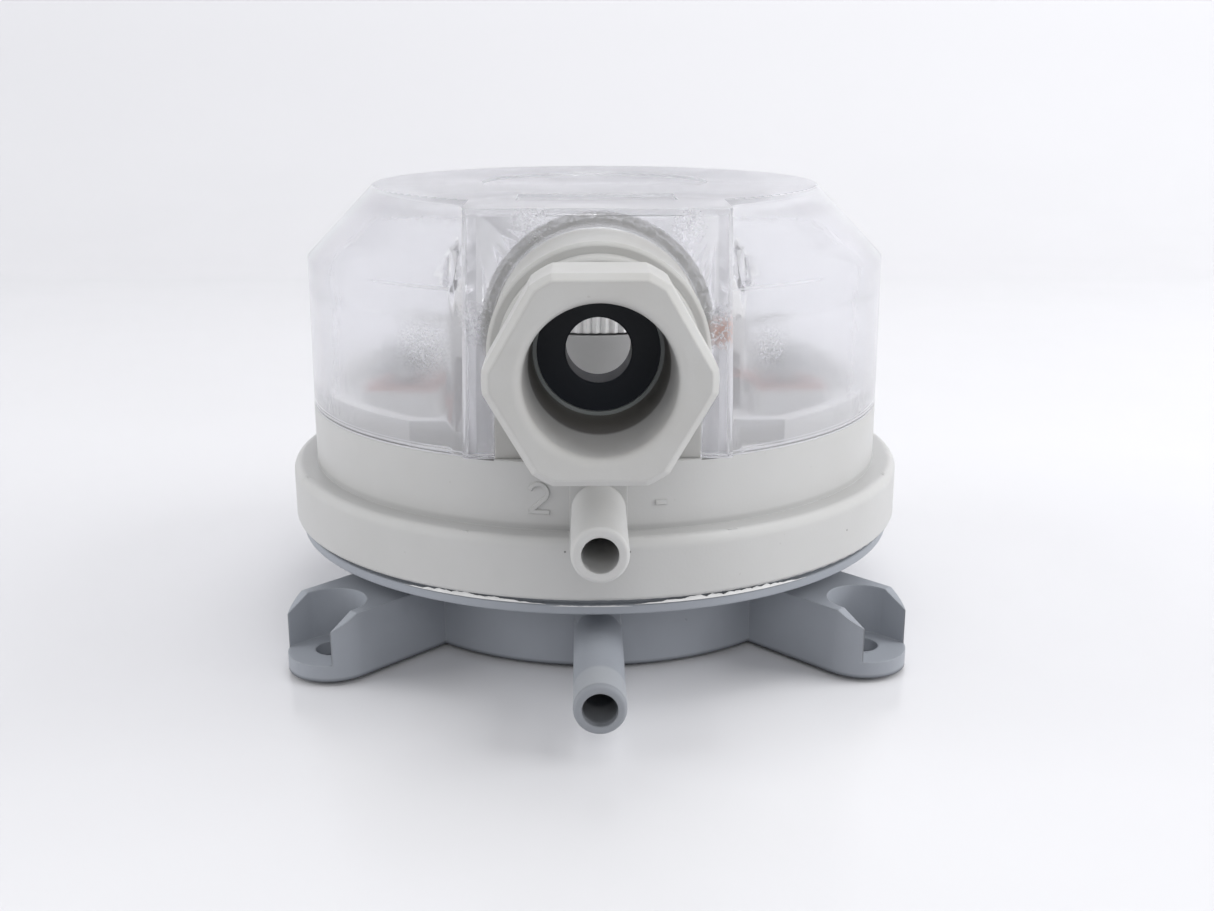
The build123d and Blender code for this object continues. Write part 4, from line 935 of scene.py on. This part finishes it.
cameraLook = {"place": (-0.001588, -0.192455, 0.074033), "tilt": 90 - 15.826, "swing": -0.017, "lens": 40.95,
              "sensor": 36, "near": 0.01}
cameraData = bpy.data.cameras.new("viewCamera")
cameraData.sensor_width = cameraLook["sensor"]
cameraData.lens = cameraLook["lens"]
cameraData.clip_start = cameraLook["near"]
camera = bpy.data.objects.new("viewCamera", cameraData)
camera.location = cameraLook["place"]
camera.rotation_euler = (radians(cameraLook["tilt"]), 0, cameraLook["swing"])
bpy.context.scene.collection.objects.link(camera)
bpy.context.scene.camera = camera

floorLook = {"half": 0.9, "bendFrom": 0.30, "bendR": 0.35, "bendSteps": 24, "height": 0.9,
             "colour": (0.71, 0.71, 0.73, 1), "far": (0.90, 0.90, 0.935, 1), "farZ": 300.0,
             "dustSize": 0.05, "dustAmount": 0.5, "dustLight": 1.08, "rough": 0.16, "roughSpread": 0.05}


def sweepFloor(look):                        # floor that curves up into the backdrop
    profile = [(-look["half"], 0.0), (look["bendFrom"], 0.0)]
    for step in range(1, look["bendSteps"] + 1):
        turn = pi / 2 * step / look["bendSteps"]
        profile.append((look["bendFrom"] + look["bendR"] * sin(turn), look["bendR"] * (1 - cos(turn))))
    profile.append((look["bendFrom"] + look["bendR"], look["height"]))
    mesh = bmesh.new()
    rows = [[mesh.verts.new((side * look["half"], y, z)) for side in (-1, 1)] for y, z in profile]
    for near, far in zip(rows, rows[1:]):
        mesh.faces.new((near[0], near[1], far[1], far[0]))
    data = bpy.data.meshes.new("studioSweep")
    mesh.to_mesh(data)
    mesh.free()
    for face in data.polygons:
        face.use_smooth = True
    return data


def sweepFinish(look):                       # paler towards the top, with faint dust
    made = Finish("paleSweep")
    dust = made.noise(look["dustSize"])
    near = made.fade(made.axis("Z"), 0.0, look["farZ"])
    dusty = tuple(part * look["dustLight"] for part in look["colour"][:3]) + (1,)
    tone = made.blend(near, look["far"], look["colour"])
    tone = made.blend(dust * look["dustAmount"], tone, dusty)
    return made.show(made.node("ShaderNodeBsdfPrincipled", sockets={
        "Base Color": tone, "Roughness": look["rough"] + dust * look["roughSpread"]}))


floor = newPiece("studioSweep", sweepFloor(floorLook), sweepFinish(floorLook))

worldLook = {"colour": (0.97, 0.975, 1.0, 1), "strength": 0.42, "seen": 0.80}


def studioAir(look):                         # soft light from all round, brighter to the eye and in gloss
    world = bpy.data.worlds.new("studioAir")
    world.use_nodes = True
    tree = world.node_tree
    rays = addNode(tree, "ShaderNodeLightPath").outputs
    mirrored = addNode(tree, "ShaderNodeMath", {"operation": "MAXIMUM"},
                       {0: rays["Is Glossy Ray"], 1: rays["Is Transmission Ray"]})
    seen = addNode(tree, "ShaderNodeMath", {"operation": "MAXIMUM"},
                   {0: rays["Is Camera Ray"], 1: mirrored.outputs[0]})
    level = addNode(tree, "ShaderNodeMapRange", sockets={
        "Value": seen.outputs[0], "To Min": look["strength"], "To Max": look["seen"]})
    backdrop = tree.nodes["Background"]
    backdrop.inputs["Color"].default_value = look["colour"]
    tree.links.new(level.outputs[0], backdrop.inputs["Strength"])
    return world


bpy.context.scene.world = studioAir(worldLook)

lamps = {
    "topSoftbox": {"place": (0.05, 0.02, 0.60), "aim": (0, 0, 0.02), "size": 0.25, "power": 0.65,
                   "mirrored": True},
    "rightSoftbox": {"place": (0.72, -0.10, 0.34), "aim": (0, 0, 0.02), "size": 0.5, "power": 4.4,
                     "mirrored": False},
    "leftSoftbox": {"place": (-0.72, -0.06, 0.30), "aim": (0, 0, 0.02), "size": 0.5, "power": 3.1,
                    "mirrored": False},
    "frontSoftbox": {"place": (0.08, -0.80, 0.50), "aim": (0, 0, 0.02), "size": 0.5, "power": 2.0,
                     "mirrored": False},
    "backSoftbox": {"place": (0.40, 0.10, 0.70), "aim": (0.15, 0.60, 0.15), "size": 0.4, "power": 1.2,
                    "mirrored": False},
}
for name, look in lamps.items():
    light = bpy.data.lights.new(name, "AREA")
    light.shape = "SQUARE"
    light.size = look["size"]
    light.energy = look["power"]
    lamp = bpy.data.objects.new(name, light)
    lamp.visible_glossy = look["mirrored"]
    lamp.visible_transmission = look["mirrored"]
    lamp.location = look["place"]
    lamp.rotation_euler = (Vector(look["aim"]) - Vector(look["place"])).to_track_quat("-Z", "Y").to_euler()
    bpy.context.scene.collection.objects.link(lamp)

view = bpy.context.scene.view_settings
view.view_transform = "Standard"
print("stage: camera and light")
